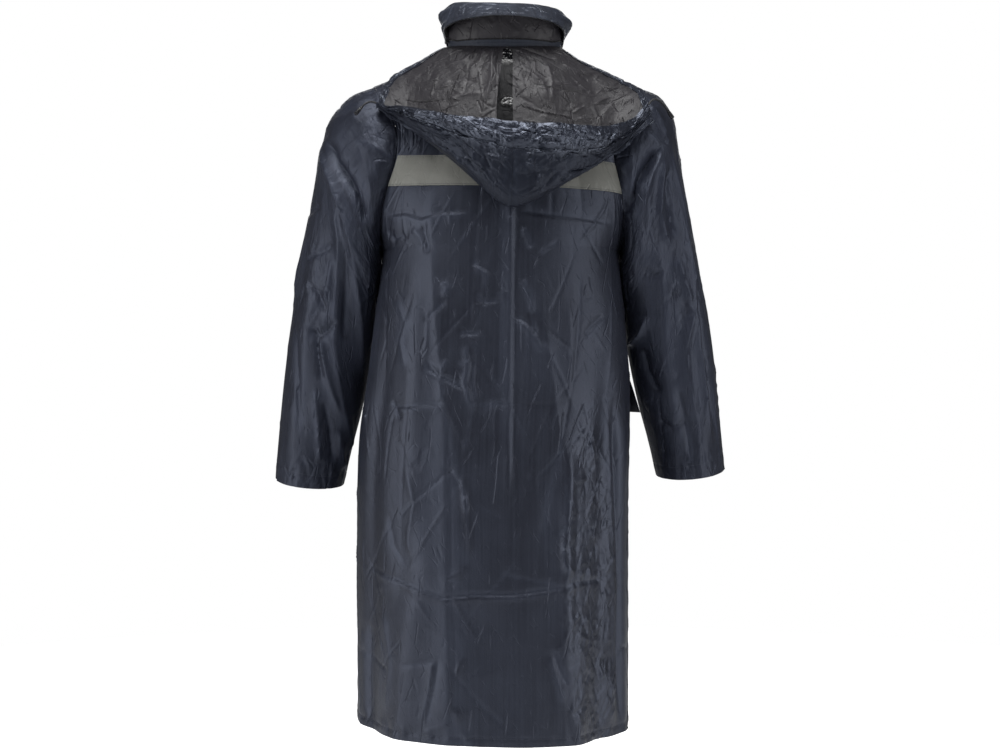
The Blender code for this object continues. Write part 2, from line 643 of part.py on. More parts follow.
def hood_columns(lengths):
    """Places across the hood for each of its rows, from the wearer's right edge. The
    outer three of each half carry the side hem, and the inner two the seam tape."""
    seam = SEAM_GAP / 2 / HOOD_HALF_WIDTH
    taped = HOOD_TAPE_WIDTH / 2 / HOOD_HALF_WIDTH
    inner = np.array([[seam, taped, 0.16, 0.28, 0.40, 0.52, 0.63, 0.72, 0.80]])
    hem = np.maximum(SIDE_HEM_AT_NECK - SIDE_HEM_LESS * lengths, SIDE_HEM_LEAST)
    outer = np.concatenate([1 - hem, 1 - hem / 2, 0 * hem + HOOD_EDGE_SHARE], axis=1)
    half = np.concatenate([inner.repeat(len(lengths), axis=0), outer], axis=1)
    return np.concatenate([-half[:, ::-1], half], axis=1)


def make_hood(coated, outer, coat):
    """Two halves that meet in the centre seam, the turned hems and the seam tape."""
    lengths = np.array(HOOD_LENGTHS)[:, None]
    across = hood_columns(lengths)
    count = across.shape[1] // 2
    clearance = through(HOOD_CLEARANCE, lengths)[..., 0]
    points = held_off(hood_surface(lengths, across), coat, clearance)
    grid = points, grid_normals(points)
    lift = WALL + TAPE_LIFT
    for name, columns in (("right", slice(0, count)), ("left", slice(count, None))):
        half_grid = grid[0][:, columns], grid[1][:, columns]
        make_wall(f"hood_{name}", coated, half_grid)
        at_edge = slice(-3, None) if name == "left" else slice(0, 3)
        within = slice(0, -3) if name == "left" else slice(3, None)
        hem = part_of_grid(half_grid, slice(1, 9), at_edge, lift)
        make_wall(f"hood_{name}_side_hem", outer, hem)
        casing = part_of_grid(half_grid, slice(-3, None), within, lift)
        make_wall(f"hood_{name}_casing", outer, casing)
    tape = part_of_grid(grid, slice(1, 10), slice(count - 2, count + 2), lift)
    make_wall("hood_seam_tape", outer, tape)


def collar_values(angle):
    """The opening table's columns at an angle, each ready to scale a vector."""
    return np.moveaxis(through(COLLAR_OPENING, np.degrees(angle))[..., None], -2, 0)


def collar_top(angle):
    height = collar_values(angle)[3][..., 0]
    point = neck_seam(angle)
    point[..., :2] *= 1 + COLLAR_FLARE / NECK_BACK_DEPTH
    point[..., 2] += height
    return point


def collar_inner_surface(rise, angle):
    rise, angle = np.broadcast_arrays(rise, angle)
    foot, top = neck_seam(angle), collar_top(angle)
    return foot + (top - foot) * rise[..., None]


def outward(angle):
    """Level direction away from the neck's middle."""
    return np.stack([np.sin(angle), np.cos(angle), 0 * angle], axis=-1)


def collar_outer_surface(drop, angle):
    """Point of the collar's outer layer: drop is 0 at the top fold and 1 at its foot,
    which the opened zip lets swing out behind."""
    drop, angle = np.broadcast_arrays(drop, angle)
    top, foot, away = collar_top(angle), neck_seam(angle), outward(angle)
    lifted, edge_out, middle_out, _ = collar_values(angle)
    upward = np.array([0, 0, 1.0])
    foot = foot + upward * (lifted + SEAM_GAP)
    middle = (top + foot) / 2 + away * middle_out
    top = top + away * (WALL + 2 * SEAM_GAP)
    foot = foot + away * edge_out
    down = drop[..., None]
    return (1 - down) ** 2 * top + 2 * down * (1 - down) * middle + down**2 * foot


def collar_grid(surface, levels, angles):
    rows, columns = np.broadcast_arrays(levels, angles)
    points = surface(rows, columns)
    normals = normals_of(surface, rows, columns)
    facing = np.sum(normals * outward(columns), axis=-1, keepdims=True)
    points[..., 0] += section_shift(neck_seam(columns)[..., 2])
    points[..., 2] += SEAM_GAP
    return points, normals * np.where(facing < 0, -1, 1)


def collar_angles():
    """Angles of the collar's columns, which meet those of the back and the fronts."""
    across, _ = back_rows()
    behind = across[np.abs(across) <= NECK_SHARE] / NECK_SHARE * math.pi / 2
    half, _ = front_rows()
    before = math.pi - half[(half > 0) & (half < NECK_SHARE)] / NECK_SHARE * math.pi / 2
    before = np.append(before, COLLAR_END_ANGLE)
    return np.sort(np.concatenate([behind, before, -before]))


def zip_level(angle):
    """Share of the collar's height at which the closed zip would lie."""
    at_end = smooth_step((np.abs(angle) / ZIP_END_ANGLE - 0.6) / 0.3)
    return (ZIP_TAPE_WIDTH + ZIP_END_RISE * at_end) / COLLAR_HEIGHT


def make_collar(outer, coated, tape):
    """The stand collar's two layers, open at the back, and both halves of its zip."""
    angles = collar_angles()
    zipped = np.flatnonzero(np.abs(angles) <= ZIP_END_ANGLE)
    columns = slice(zipped[0], zipped[-1] + 1)
    levels = np.stack([0 * angles, zip_level(angles), 0 * angles + 0.55, 0 * angles + 1])
    grid = collar_grid(collar_inner_surface, levels, angles)
    make_wall("collar_inner", coated, grid)
    lower = part_of_grid(grid, slice(0, 2), columns, WALL + SEAM_GAP)
    make_wall("zip_tape_lower", tape, lower)
    edge = 1 - ZIP_TAPE_WIDTH / COLLAR_HEIGHT * 0.7
    levels = np.array([0, 0.12, 0.45, edge, 1])[:, None]
    points, normals = collar_grid(collar_outer_surface, levels, angles)
    points[..., 2] += SEAM_GAP
    make_wall("collar_outer", outer, (points, normals))
    upper = part_of_grid((points, normals), slice(3, 5), columns, -WALL - SEAM_GAP)
    make_wall("zip_tape_upper", tape, upper)


def turned(name, profile, cloth, segments=12):
    """A closed solid turned round Z from (radius, z) pairs, with its foot first."""
    mesh = bmesh.new()
    rings = []
    for radius, up in profile:
        turns = [2 * math.pi * index / segments for index in range(segments)]
        spots = [(radius * math.cos(turn), radius * math.sin(turn), up) for turn in turns]
        rings.append([mesh.verts.new(spot) for spot in spots])
    for low, high in zip(rings, rings[1:]):
        for index in range(segments):
            beside = (index + 1) % segments
            mesh.faces.new((low[index], low[beside], high[beside], high[index]))
    mesh.faces.new(rings[0])
    mesh.faces.new(rings[-1])
    bmesh.ops.recalc_face_normals(mesh, faces=mesh.faces)
    return finish_object(name, mesh, cloth)


def stand(obj, foot, away):
    """Put a turned solid's foot at a place, pointing away from it."""
    obj.rotation_mode = "QUATERNION"
    obj.rotation_quaternion = Vector((0, 0, 1)).rotation_difference(Vector(away))
    obj.location = Vector(foot)


def make_snaps(metal):
    """Press-stud caps down the centre of the front that lies on top."""
    points, normals = front_grid(1)
    profile = [(SNAP_DIAMETER / 2 * across, SNAP_HEIGHT * up) for across, up in SNAP_PROFILE]
    for index, row in enumerate(SNAP_ROWS):
        snap = turned(f"snap_cap_{index + 1}", profile, metal)
        away = normals[row, 1]
        stand(snap, points[row, 1] + away * SEAM_GAP, away)


def smooth_route(route, spacing):
    """Points at even spacing on a smooth curve through the route's own points."""
    route = np.array(route)
    keys = np.concatenate([[0], np.cumsum(np.linalg.norm(np.diff(route, axis=0), axis=1))])
    count = int(keys[-1] / spacing) + 1
    return through(np.column_stack([keys, route]), np.linspace(0, keys[-1], count))


def make_cord(name, cord, route, coat):
    points = held_off(smooth_route(route, CORD_POINT_SPACING), coat, CORD_CLEARANCE)
    curve = bpy.data.curves.new(name, "CURVE")
    curve.dimensions = "3D"
    curve.bevel_depth = CORD_DIAMETER / 2
    curve.bevel_resolution = 2
    curve.use_fill_caps = True
    spline = curve.splines.new("POLY")
    spline.points.add(len(points) - 1)
    for point, place in zip(spline.points, points):
        point.co = (*place, 1.0)
    curve.materials.append(cord)
    obj = bpy.data.objects.new(name, curve)
    bpy.context.scene.collection.objects.link(obj)
    return points


def make_cord_end(name, plastic, points):
    """A moulded bell on the cord's end, with its narrow mouth towards the cord."""
    profile = [
        (CORD_END_DIAMETER / 2 * across, CORD_END_LENGTH * up) for across, up in BELL_PROFILE
    ]
    away = points[-1] - points[-2]
    away = away / np.linalg.norm(away)
    stand(turned(name, profile, plastic), points[-1] + away * SEAM_GAP, away)


def box(mesh, size, middle):
    made = bmesh.ops.create_cube(mesh, size=1.0)
    bmesh.ops.scale(mesh, vec=size, verts=made["verts"])
    bmesh.ops.translate(mesh, vec=middle, verts=made["verts"])
    return made["verts"]


def slider_place():
    """Frame of the slider: X along the zip, Y away from the collar and Z up."""
    angle = np.array([SLIDER_ANGLE])
    place = zip_level(angle), angle
    points, normals = collar_grid(collar_inner_surface, *place)
    away = Vector(normals[0])
    away.z = 0
    away.normalize()
    up = Vector((0, 0, 1))
    foot = Vector(points[0]) + away * (WALL + 2 * SEAM_GAP)
    along = away.cross(up)
    frame = Matrix((along, away, up)).transposed().to_4x4()
    frame.translation = foot
    return frame


def make_slider(metal):
    mesh = bmesh.new()
    box(mesh, (SLIDER_WIDTH, SLIDER_DEPTH, SLIDER_HEIGHT), (0, SLIDER_DEPTH / 2, 0))
    bmesh.ops.bevel(
        mesh, geom=list(mesh.edges), offset=0.0006, segments=2, profile=0.5, affect="EDGES"
    )
    slider = finish_object("zip_slider", mesh, metal, 30)
    slider.matrix_world = slider_place()
    for side in (-1, 1):
        mesh = bmesh.new()
        middle_x = side * (PULL_WIDTH / 2 + SEAM_GAP + LUG_WIDTH / 2)
        reach = LUG_REACH + LUG_SUNK
        middle = (middle_x, SLIDER_DEPTH - LUG_SUNK + reach / 2, HINGE_RISE)
        box(mesh, (LUG_WIDTH, reach, LUG_HEIGHT), middle)
        lug = finish_object(f"lug_cutter_{side}", mesh, metal)
        lug.matrix_world = slider_place()
        lug.hide_render = True
        lug.hide_viewport = True
        lug.display_type = "WIRE"
        join = slider.modifiers.new("lug", "BOOLEAN")
        join.operation = "UNION"
        join.object = lug
    return slider


def make_pull(metal):
    """The tab hangs from its barrel; its origin is on the hinge's axis."""
    mesh = bmesh.new()
    middle = (0, 0, -PULL_LENGTH / 2 + PULL_THICKNESS / 2)
    box(mesh, (PULL_WIDTH, PULL_THICKNESS, PULL_LENGTH), middle)
    bmesh.ops.bevel(
        mesh, geom=list(mesh.edges), offset=0.0003, segments=2, profile=0.5, affect="EDGES"
    )
    pull = finish_object("zip_pull", mesh, metal, 30)
    frame = slider_place()
    hinge = Vector((0, SLIDER_DEPTH + LUG_REACH * HINGE_SHARE, HINGE_RISE))
    pull.matrix_world = frame @ Matrix.Translation(hinge)


def build():
    clear_scene()
    outer = material("navy_nylon", (0.040, 0.050, 0.072), 0.42)
    coated = material("grey_coating", (0.085, 0.088, 0.092), 0.55)
    reflective = material("reflective_tape", (0.26, 0.26, 0.21), 0.60)
    zip_tape = material("zip_tape", (0.025, 0.027, 0.038), 0.70)
    cord = material("black_cord", (0.012, 0.012, 0.014), 0.55)
    plastic = material("black_plastic", (0.012, 0.012, 0.014), 0.25)
    metal = material("dark_metal", (0.08, 0.08, 0.09), 0.35, 1.0)

    grids = [make_back(outer, reflective), *make_fronts(outer)]
    grids.append(make_sleeve("sleeve_left", outer, 1))
    grids.append(make_sleeve("sleeve_right", outer, -1))
    coat = outer_faces(grids)
    make_hood(coated, outer, coat)
    make_collar(outer, coated, zip_tape)
    make_snaps(metal)
    for side, route in (("left", LEFT_CORD_ROUTE), ("right", RIGHT_CORD_ROUTE)):
        points = make_cord(f"cord_{side}", cord, route, coat)
        make_cord_end(f"cord_end_{side}", plastic, points)
    make_slider(metal)
    make_pull(metal)


build()
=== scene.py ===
"""Dressed model of a long hooded raincoat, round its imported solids.

Each cloth piece is a thin shell on its solid's own surface, with its folds, packing
creases and puckers. Sewing, zip teeth, studs, cords and the studio are added to it.
Metres, +Z up; the coat's back faces +Y and +X is the wearer's left.
"""

import json
import logging
import math
from collections.abc import Callable
from dataclasses import dataclass
from enum import Enum
from functools import partial

import bmesh
import bpy
import numpy as np
from mathutils import Matrix, Vector
from mathutils.bvhtree import BVHTree

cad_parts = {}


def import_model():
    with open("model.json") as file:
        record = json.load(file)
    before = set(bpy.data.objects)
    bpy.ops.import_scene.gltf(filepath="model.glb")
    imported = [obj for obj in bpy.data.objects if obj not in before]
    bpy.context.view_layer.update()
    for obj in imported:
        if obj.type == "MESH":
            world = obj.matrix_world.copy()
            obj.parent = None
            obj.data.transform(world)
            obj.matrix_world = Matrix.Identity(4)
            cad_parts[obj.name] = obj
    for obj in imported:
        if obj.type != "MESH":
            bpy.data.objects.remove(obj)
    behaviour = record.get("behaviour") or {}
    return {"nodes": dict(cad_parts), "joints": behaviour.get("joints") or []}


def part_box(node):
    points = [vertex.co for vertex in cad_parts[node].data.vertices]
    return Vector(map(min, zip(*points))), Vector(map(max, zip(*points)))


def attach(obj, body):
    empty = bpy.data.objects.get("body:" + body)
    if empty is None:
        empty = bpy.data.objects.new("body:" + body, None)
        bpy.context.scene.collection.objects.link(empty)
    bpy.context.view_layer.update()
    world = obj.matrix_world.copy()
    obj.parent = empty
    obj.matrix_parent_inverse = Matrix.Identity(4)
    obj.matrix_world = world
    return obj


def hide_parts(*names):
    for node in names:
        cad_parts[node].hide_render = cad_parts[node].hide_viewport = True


logging.basicConfig(level=logging.INFO, format="%(message)s")
log = logging.getLogger("raincoat")

Array = np.ndarray
Grid = tuple[Array, ...]  # points, normals and crease heights
Object = bpy.types.Object
Material = bpy.types.Material
Socket = bpy.types.NodeSocket
NodeTree = bpy.types.NodeTree

COAT = "coat"  # the body that the cloth rides on
PULL_TAB = "pull_tab"  # the body of the zip's pull
WALL = 0.0014  # the solids' cloth wall, outer face to inner face
CLOTH = 0.0006  # the shells' cloth
SEAM_GAP = 0.0003
ROUNDNESS = 0.87

HEM_Z = -1.143
HEM_TILT = 0.022
HEM_SIDE_RISE = 0.01
HEM_DEPTH = 0.013
HALF_CLOTH = 0.34  # a body panel's cloth from its middle to its side seam
UNDERARM_X = 0.2
UNDERARM_Z = -0.345
SHOULDER_TIP_X = 0.222
SHOULDER_TIP_Z = -0.065
NECK_SHARE = 0.42
CLOSURE_LAP = 0.02
LAP_LIFT = 0.0023
EDGE_STITCH = 0.004  # from a piece's edge or seam to the stitches along it

NECK_HALF_WIDTH = 0.094
NECK_BACK_DEPTH = 0.064
NECK_FRONT_DEPTH = 0.078
NECK_SIDE_Z = -0.009
NECK_BACK_Z = -0.0105
NECK_FRONT_Z = -0.08
COLLAR_HEIGHT = 0.071
COLLAR_FLARE = 0.004
COLLAR_END_ANGLE = math.radians(179)
ZIP_END_ANGLE = math.radians(88)
ZIP_TAPE_WIDTH = 0.0125
ZIP_END_RISE = 0.0065

TAPE_WIDTH = 0.05
TAPE_TOP_Z = -0.2005
TAPE_TILT = 0.035
HOOD_REACH = 0.19  # the hood's cloth from its centre seam to its side
HOOD_LENGTH = 0.46  # the hood's cloth from its neck seam to its rim
HOOD_HALF_WIDTH = 0.205
HOOD_EDGE_SHARE = 0.995
CASING_SHARE = 0.11
CASING_LINE = 1 - CASING_SHARE
HOOD_TAPE_WIDTH = 0.025
FLAP_TOP_Z = -0.555
FLAP_DEPTH = 0.062
FLAP_FROM, FLAP_TO = 0.5, 0.93
CUFF_DROP = 0.01
RIGHT_CUFF_RISE = 0.0155
CORD_CLEARANCE = 0.003
SHARP_CREASE = 85  # half width below which a crease wears the cloth, in tenths of a mm

# z, half width, depth behind, depth in front, ends' y, bend, sideways shift
BODY_SECTIONS = (
    (-1.18, 0.2285, 0.198, 0.172, 0.02, 1.4, 0.012),
    (-1, 0.2285, 0.191, 0.165, 0.02, 1.3, 0.012),
    (-0.86, 0.2285, 0.184, 0.16, 0.02, 1.15, 0.012),
    (-0.74, 0.2285, 0.177, 0.155, 0.02, 1, 0.0115),
    (-0.65, 0.227, 0.171, 0.15, 0.02, 0.92, 0.008),
    (-0.57, 0.221, 0.167, 0.147, 0.02, 0.9, 0.002),
    (-0.48, 0.212, 0.162, 0.145, 0.02, 0.9, 0),
    (-0.4, 0.2035, 0.157, 0.143, 0.012, 0.9, -0.001),
    (-0.345, 0.2, 0.152, 0.141, 0, 0.9, -0.002),
    (-0.2, 0.198, 0.139, 0.134, 0, 0.87, -0.0085),
    (-0.12, 0.198, 0.116, 0.106, 0, 0.87, -0.01),
    (-0.08, 0.198, 0.102, 0.078, 0, 0.87, -0.009),
    (-0.04, 0.198, 0.084, 0.078, 0, 0.87, -0.0085),
    (-0.01, 0.198, 0.064, 0.078, 0, 0.87, -0.008),
    (0.08, 0.198, 0.064, 0.078, 0, 0.87, -0.008),
)

# outer x, outer z, inner x, inner z, behind, in front, drawn in
SLEEVE_SECTIONS = (
    (SHOULDER_TIP_X, SHOULDER_TIP_Z, UNDERARM_X, UNDERARM_Z, 0.085, 0.085, 0.036),
    (0.262, -0.083, 0.205, -0.362, 0.096, 0.096, 0.026),
    (0.289, -0.116, 0.206, -0.38, 0.092, 0.098, 0.014),
    (0.3, -0.152, 0.207, -0.402, 0.085, 0.099, 0.006),
    (0.312, -0.208, 0.209, -0.432, 0.075, 0.1, 0.002),
    (0.328, -0.29, 0.212, -0.464, 0.064, 0.101, 0),
    (0.3455, -0.39, 0.217, -0.506, 0.053, 0.102, 0),
    (0.36, -0.48, 0.225, -0.556, 0.044, 0.103, 0),
    (0.37, -0.56, 0.238, -0.617, 0.036, 0.102, 0),
    (0.3785, -0.645, 0.2545, -0.68, 0.03, 0.1, 0),
    (0.386, -0.73, 0.269, -0.742, 0.026, 0.098, 0),
)

# share of length, left x, y, z, middle x, y, z, right x, y, z, roundness, rise left,
# rise right, flat in the middle
HOOD_ROWS = (
    (0, 0.0898, 0, 0, -0.012, 0.068, -0.0105, -0.106, 0, -0.001, 0.5, 2, 2, 0),
    (0.07, 0.108, 0.003, -0.006, -0.013, 0.083, -0.024, -0.13, 0.004, -0.018, 0.6, 1.9, 1.9, 0),
    (0.16, 0.133, 0.006, -0.021, -0.011, 0.104, -0.054, -0.158, 0.007, -0.036, 0.8, 1.8, 1.8, 0),
    (0.28, 0.168, 0.01, -0.04, -0.008, 0.126, -0.1, -0.193, 0.012, -0.056, 1, 1.7, 1.7, 0),
    (0.42, 0.188, 0.024, -0.064, -0.008, 0.146, -0.165, -0.224, 0.022, -0.074, 1, 1.5, 1.5, 0.05),
    (0.54, 0.197, 0.044, -0.09, -0.014, 0.16, -0.238, -0.238, 0.036, -0.096, 1, 1, 1.2, 0.1),
    (0.6, 0.203, 0.058, -0.107, -0.018, 0.167, -0.278, -0.243, 0.046, -0.124, 1, 0.7, 1.2, 0.13),
    (0.64, 0.205, 0.063, -0.113, -0.018, 0.178, -0.288, -0.244, 0.053, -0.143, 1, 0.65, 1.15, 0.13),
    (0.68, 0.205, 0.068, -0.115, -0.018, 0.189, -0.28, -0.245, 0.061, -0.145, 1, 0.7, 1.4, 0.12),
    (0.82, 0.205, 0.068, -0.112, -0.02, 0.204, -0.224, -0.245, 0.066, -0.127, 0.9, 1.1, 3.2, 0.08),
    (1, 0.204, 0.064, -0.107, -0.019, 0.203, -0.157, -0.243, 0.062, -0.104, 0.8, 1.3, 8, 0),
)
HOOD_CLEARANCE = ((0, 0.0024), (0.1, 0.005), (0.56, 0.0055), (0.66, 0.0095), (1, 0.013))

# degrees from the back towards the wearer's left, lifted, edge out, middle out, height
COLLAR_OPENING = (
    (-180, 0, 0.005, 0.005, 0.056),
    (-125, 0, 0.005, 0.0056, 0.059),
    (-105, 0.006, 0.0054, 0.012, 0.0615),
    (-85, 0.0205, 0.0068, 0.025, 0.064),
    (-55, 0.032, 0.024, 0.022, 0.0685),
    (-25, 0.039, 0.044, 0.024, 0.071),
    (0, 0.0415, 0.05, 0.026, 0.0715),
    (25, 0.04, 0.044, 0.024, 0.0735),
    (55, 0.0345, 0.026, 0.02, 0.0775),
    (85, 0.0245, 0.0068, 0.022, 0.0705),
    (105, 0.008, 0.0054, 0.01, 0.064),
    (125, 0, 0.005, 0.0056, 0.06),
    (180, 0, 0.005, 0.005, 0.056),
)

# across top, across foot, top z, foot z, half width, depth
BACK_FOLDS = (
    (0.46, 0.3, -0.34, -0.86, 0.075, 0.005),
    (0.34, 0.42, -0.88, -1.143, 0.085, 0.007),
    (-0.02, -0.05, -0.3, -0.64, 0.06, -0.004),
    (-0.3, -0.36, -0.62, -1.143, 0.07, 0.0075),
    (-0.55, -0.52, -0.48, -1.143, 0.07, -0.006),
    (0.62, 0.66, -0.45, -1.143, 0.08, -0.007),
    (-0.72, -0.78, -0.56, -1.143, 0.08, 0.006),
    (0.05, 0.02, -0.9, -1.143, 0.11, -0.005),
)
FRONT_FOLDS = (
    (0.3, 0.26, -0.36, -1.143, 0.08, 0.006),
    (0.56, 0.6, -0.3, -1.143, 0.09, -0.007),
    (0.78, 0.8, -0.64, -1.143, 0.08, 0.006),
)

# angle from the outer side towards the back, share of length, half size round, half
# size along, slant, depth
SLEEVE_FOLDS = (
    (1.3, 0.2, 0.3, 0.16, 0.6, -0.005),
    (2.4, 0.34, 0.4, 0.07, -0.5, 0.0055),
    (1.6, 0.52, 0.5, 0.06, 0.5, -0.005),
    (1, 0.72, 0.22, 0.24, 0, 0.0045),
    (4.4, 0.4, 0.5, 0.07, -0.4, -0.0055),
    (4.8, 0.62, 0.45, 0.08, 0.3, 0.0045),
)

LEFT_CORD_ROUTE = (
    (0.2048, 0.0741, -0.1053),
    (0.2096, 0.0738, -0.1036),
    (0.216, 0.0765, -0.104),
    (0.222, 0.08, -0.107),
    (0.2275, 0.0815, -0.113),
)
RIGHT_CORD_ROUTE = (
    (-0.2459, 0.0727, -0.107),
    (-0.25, 0.0702, -0.1015),
    (-0.257, 0.0682, -0.098),
    (-0.265, 0.0664, -0.1008),
    (-0.272, 0.0645, -0.107),
    (-0.2775, 0.0635, -0.1145),
)


# ---------------------------------------------------------------- cloth surfaces


def smooth_step(value: Array) -> Array:
    """A rise from 0 to 1 with level ends."""
    value = np.clip(value, 0.0, 1.0)
    return value * value * (3 - 2 * value)


def hump(away: Array, width: float) -> Array:
    """A soft hump, 1 in its middle."""
    return np.exp(-((away / width) ** 2))


def wrap(turn: Array) -> Array:
    """An angle from -pi to pi."""
    return (turn + math.pi) % (2 * math.pi) - math.pi


def unit(vectors: Array) -> Array:
    """Vectors at a length of 1."""
    return vectors / np.linalg.norm(vectors, axis=-1, keepdims=True)


def reach_along(route: Array) -> Array:
    """Distance of each of a route's points from its start."""
    return np.concatenate([[0], np.cumsum(np.linalg.norm(np.diff(route, axis=0), axis=1))])


def through(table: tuple, where: Array) -> Array:
    """Smooth curve through a table.

    Args:
        table: rows, the first column of which is the key.
        where: keys at which to read it.

    Returns:
        The other columns at each key, in a last axis.
    """
    rows = np.array(table, float)
    keys = rows[:, 0]
    slopes = np.gradient(rows[:, 1:], keys, axis=0)
    where = np.asarray(where, float)
    low = np.clip(np.searchsorted(keys, where) - 1, 0, len(keys) - 2)
    span = (keys[low + 1] - keys[low])[..., None]
    t = (where - keys[low])[..., None] / span
    return (
        (2 * t**3 - 3 * t**2 + 1) * rows[low, 1:]
        + (t**3 - 2 * t**2 + t) * span * slopes[low]
        + (3 * t**2 - 2 * t**3) * rows[low + 1, 1:]
        + (t**3 - t**2) * span * slopes[low + 1]
    )


def columns_through(table: tuple, where: Array) -> Array:
    """The curve's columns, one after the other."""
    return np.moveaxis(through(table, where), -1, 0)


def neck_seam(angle: Array) -> Array:
    """Point of the neck seam at an angle from the centre back, towards +X."""
    turn = np.cos(angle)
    depth = np.where(turn > 0, NECK_BACK_DEPTH, NECK_FRONT_DEPTH)
    middle_z = np.where(turn > 0, NECK_BACK_Z, NECK_FRONT_Z)
    z = NECK_SIDE_Z + (middle_z - NECK_SIDE_Z) * turn**2
    return np.stack([NECK_HALF_WIDTH * np.sin(angle), depth * turn, z], axis=-1)


def outward(angle: Array) -> Array:
    """Level direction away from the neck's middle."""
    return np.stack([np.sin(angle), np.cos(angle), 0 * angle], axis=-1)


def ring_point(section: Array, turn: Array) -> Array:
    """Point of a sleeve's ring; the turn is 0 at its outer side and pi/2 at its back."""
    outer_x, outer_z, inner_x, inner_z, behind, front, drawn = section
    along, across = np.cos(turn), np.sin(turn)
    inward = drawn * hump(np.abs(wrap(turn)) - 1.3, 0.62)
    x = (outer_x + inner_x) / 2 + (outer_x - inner_x) / 2 * along
    z = (outer_z + inner_z) / 2 + (outer_z - inner_z) / 2 * along
    y = (behind - front) / 2 + (behind + front) / 2 * across
    return np.stack([x - inward, y, z], axis=-1)


def section_shift(z: Array) -> Array:
    """How far to the side the coat's sections stand at a height."""
    return through(BODY_SECTIONS, z)[..., -1]


def body_surface(height: Array, across: Array, facing: int) -> Array:
    """Point of a body panel.

    Args:
        height: 0 at the hem, 1 at the underarm and 2 at the shoulder seam.
        across: -1 at the wearer's right side seam and 1 at the left one.
        facing: 1 for the back and -1 for the front.

    Returns:
        Points, in metres.
    """
    height, across = np.broadcast_arrays(height, across)
    side = np.where(across < 0, -1.0, 1.0)
    share = np.abs(across)
    rise = np.maximum(height - 1, 0)
    skirt_z = HEM_Z + (UNDERARM_Z - HEM_Z) * np.minimum(height, 1)
    neck_middle = neck_seam(0.0 if facing > 0 else math.pi)
    middle_z = skirt_z + (neck_middle[2] - UNDERARM_Z) * rise
    half_width, behind, front, end_y, bend, _ = columns_through(BODY_SECTIONS, middle_z)
    middle_y = behind if facing > 0 else -front
    hole = ring_point(SLEEVE_SECTIONS[0], math.pi * (1 - rise) * facing)
    above = rise > 0
    side_x = np.where(above, hole[..., 0], half_width)
    side_y = np.where(above, hole[..., 1], end_y)
    side_z = np.where(above, hole[..., 2], skirt_z)
    quarter = share * math.pi / 2
    ring_x = np.sin(quarter) ** ROUNDNESS
    ring_y = np.sign(np.cos(quarter)) * np.abs(np.cos(quarter)) ** bend
    x = side_x * ring_x
    y = side_y + (middle_y - side_y) * ring_y
    z = side_z + (middle_z - side_z) * ring_y
    neck_turn = np.clip(share / NECK_SHARE, 0, 1) * math.pi / 2
    neck = neck_seam(neck_turn if facing > 0 else math.pi - neck_turn)
    out = np.maximum(share - NECK_SHARE, 0) / (1 - NECK_SHARE)
    top_x = neck[..., 0] + (SHOULDER_TIP_X - NECK_HALF_WIDTH) * out
    top_z = neck[..., 2] + (SHOULDER_TIP_Z - NECK_SIDE_Z) * out
    near_top = rise**1.6
    x = x + near_top * (top_x - SHOULDER_TIP_X * ring_x)
    y = y + near_top * (neck[..., 1] - neck_middle[1] * ring_y)
    fall = neck_middle[2] - SHOULDER_TIP_Z
    z = z + near_top * (top_z - SHOULDER_TIP_Z - fall * ring_y)
    at_hem = smooth_step(1 - height)
    z = z + (HEM_TILT * side * x + HEM_SIDE_RISE * share**6 * at_hem**3) * at_hem
    return np.stack([side * x + section_shift(z), y, z], axis=-1)


def sleeve_surface(share: Array, turn: Array) -> Array:
    """Point of the left sleeve: share of its length, and angle round it."""
    table = np.column_stack([np.linspace(0, 1, len(SLEEVE_SECTIONS)), SLEEVE_SECTIONS])
    return ring_point(columns_through(table, share), turn)


def hood_surface(length: Array, across: Array) -> Array:
    """Point of the hood: length from 0 at the neck seam, down inside the bag, round its
    bottom and up to 1 at the rim; across from -1 at the wearer's right edge to 1."""
    length, across = np.broadcast_arrays(length, across)
    row = through(HOOD_ROWS, length)
    middle, roundness, flat = row[..., 3:6], row[..., 9], np.maximum(row[..., 12], 0)
    rise = np.where(across > 0, row[..., 10], row[..., 11])
    share = np.abs(across)
    end = np.where((across > 0)[..., None], row[..., 0:3], row[..., 6:9])
    bend = np.maximum(1 - share**2, 0) ** roundness
    lowest, highest = flat**rise, (1 + flat**2) ** (rise / 2)
    climb = ((share**2 + flat**2) ** (rise / 2) - lowest) / (highest - lowest)
    x = middle[..., 0] + (end[..., 0] - middle[..., 0]) * share
    y = end[..., 1] + (middle[..., 1] - end[..., 1]) * bend
    z = middle[..., 2] + (end[..., 2] - middle[..., 2]) * climb
    return np.stack([x, y, z], axis=-1)


def collar_values(angle: Array) -> Array:
    """The opening table's columns at an angle, each ready to scale a vector."""
    return columns_through(COLLAR_OPENING, np.degrees(angle))[..., None]


def collar_top(angle: Array) -> Array:
    """Point of the collar's top fold."""
    point = neck_seam(angle)
    point[..., :2] *= 1 + COLLAR_FLARE / NECK_BACK_DEPTH
    point[..., 2] += collar_values(angle)[3][..., 0]
    return point


def collar_inner_surface(rise: Array, angle: Array) -> Array:
    """Point of the collar's inner layer, from its foot (0) to its top fold (1)."""
    rise, angle = np.broadcast_arrays(rise, angle)
    foot = neck_seam(angle)
    return foot + (collar_top(angle) - foot) * rise[..., None]


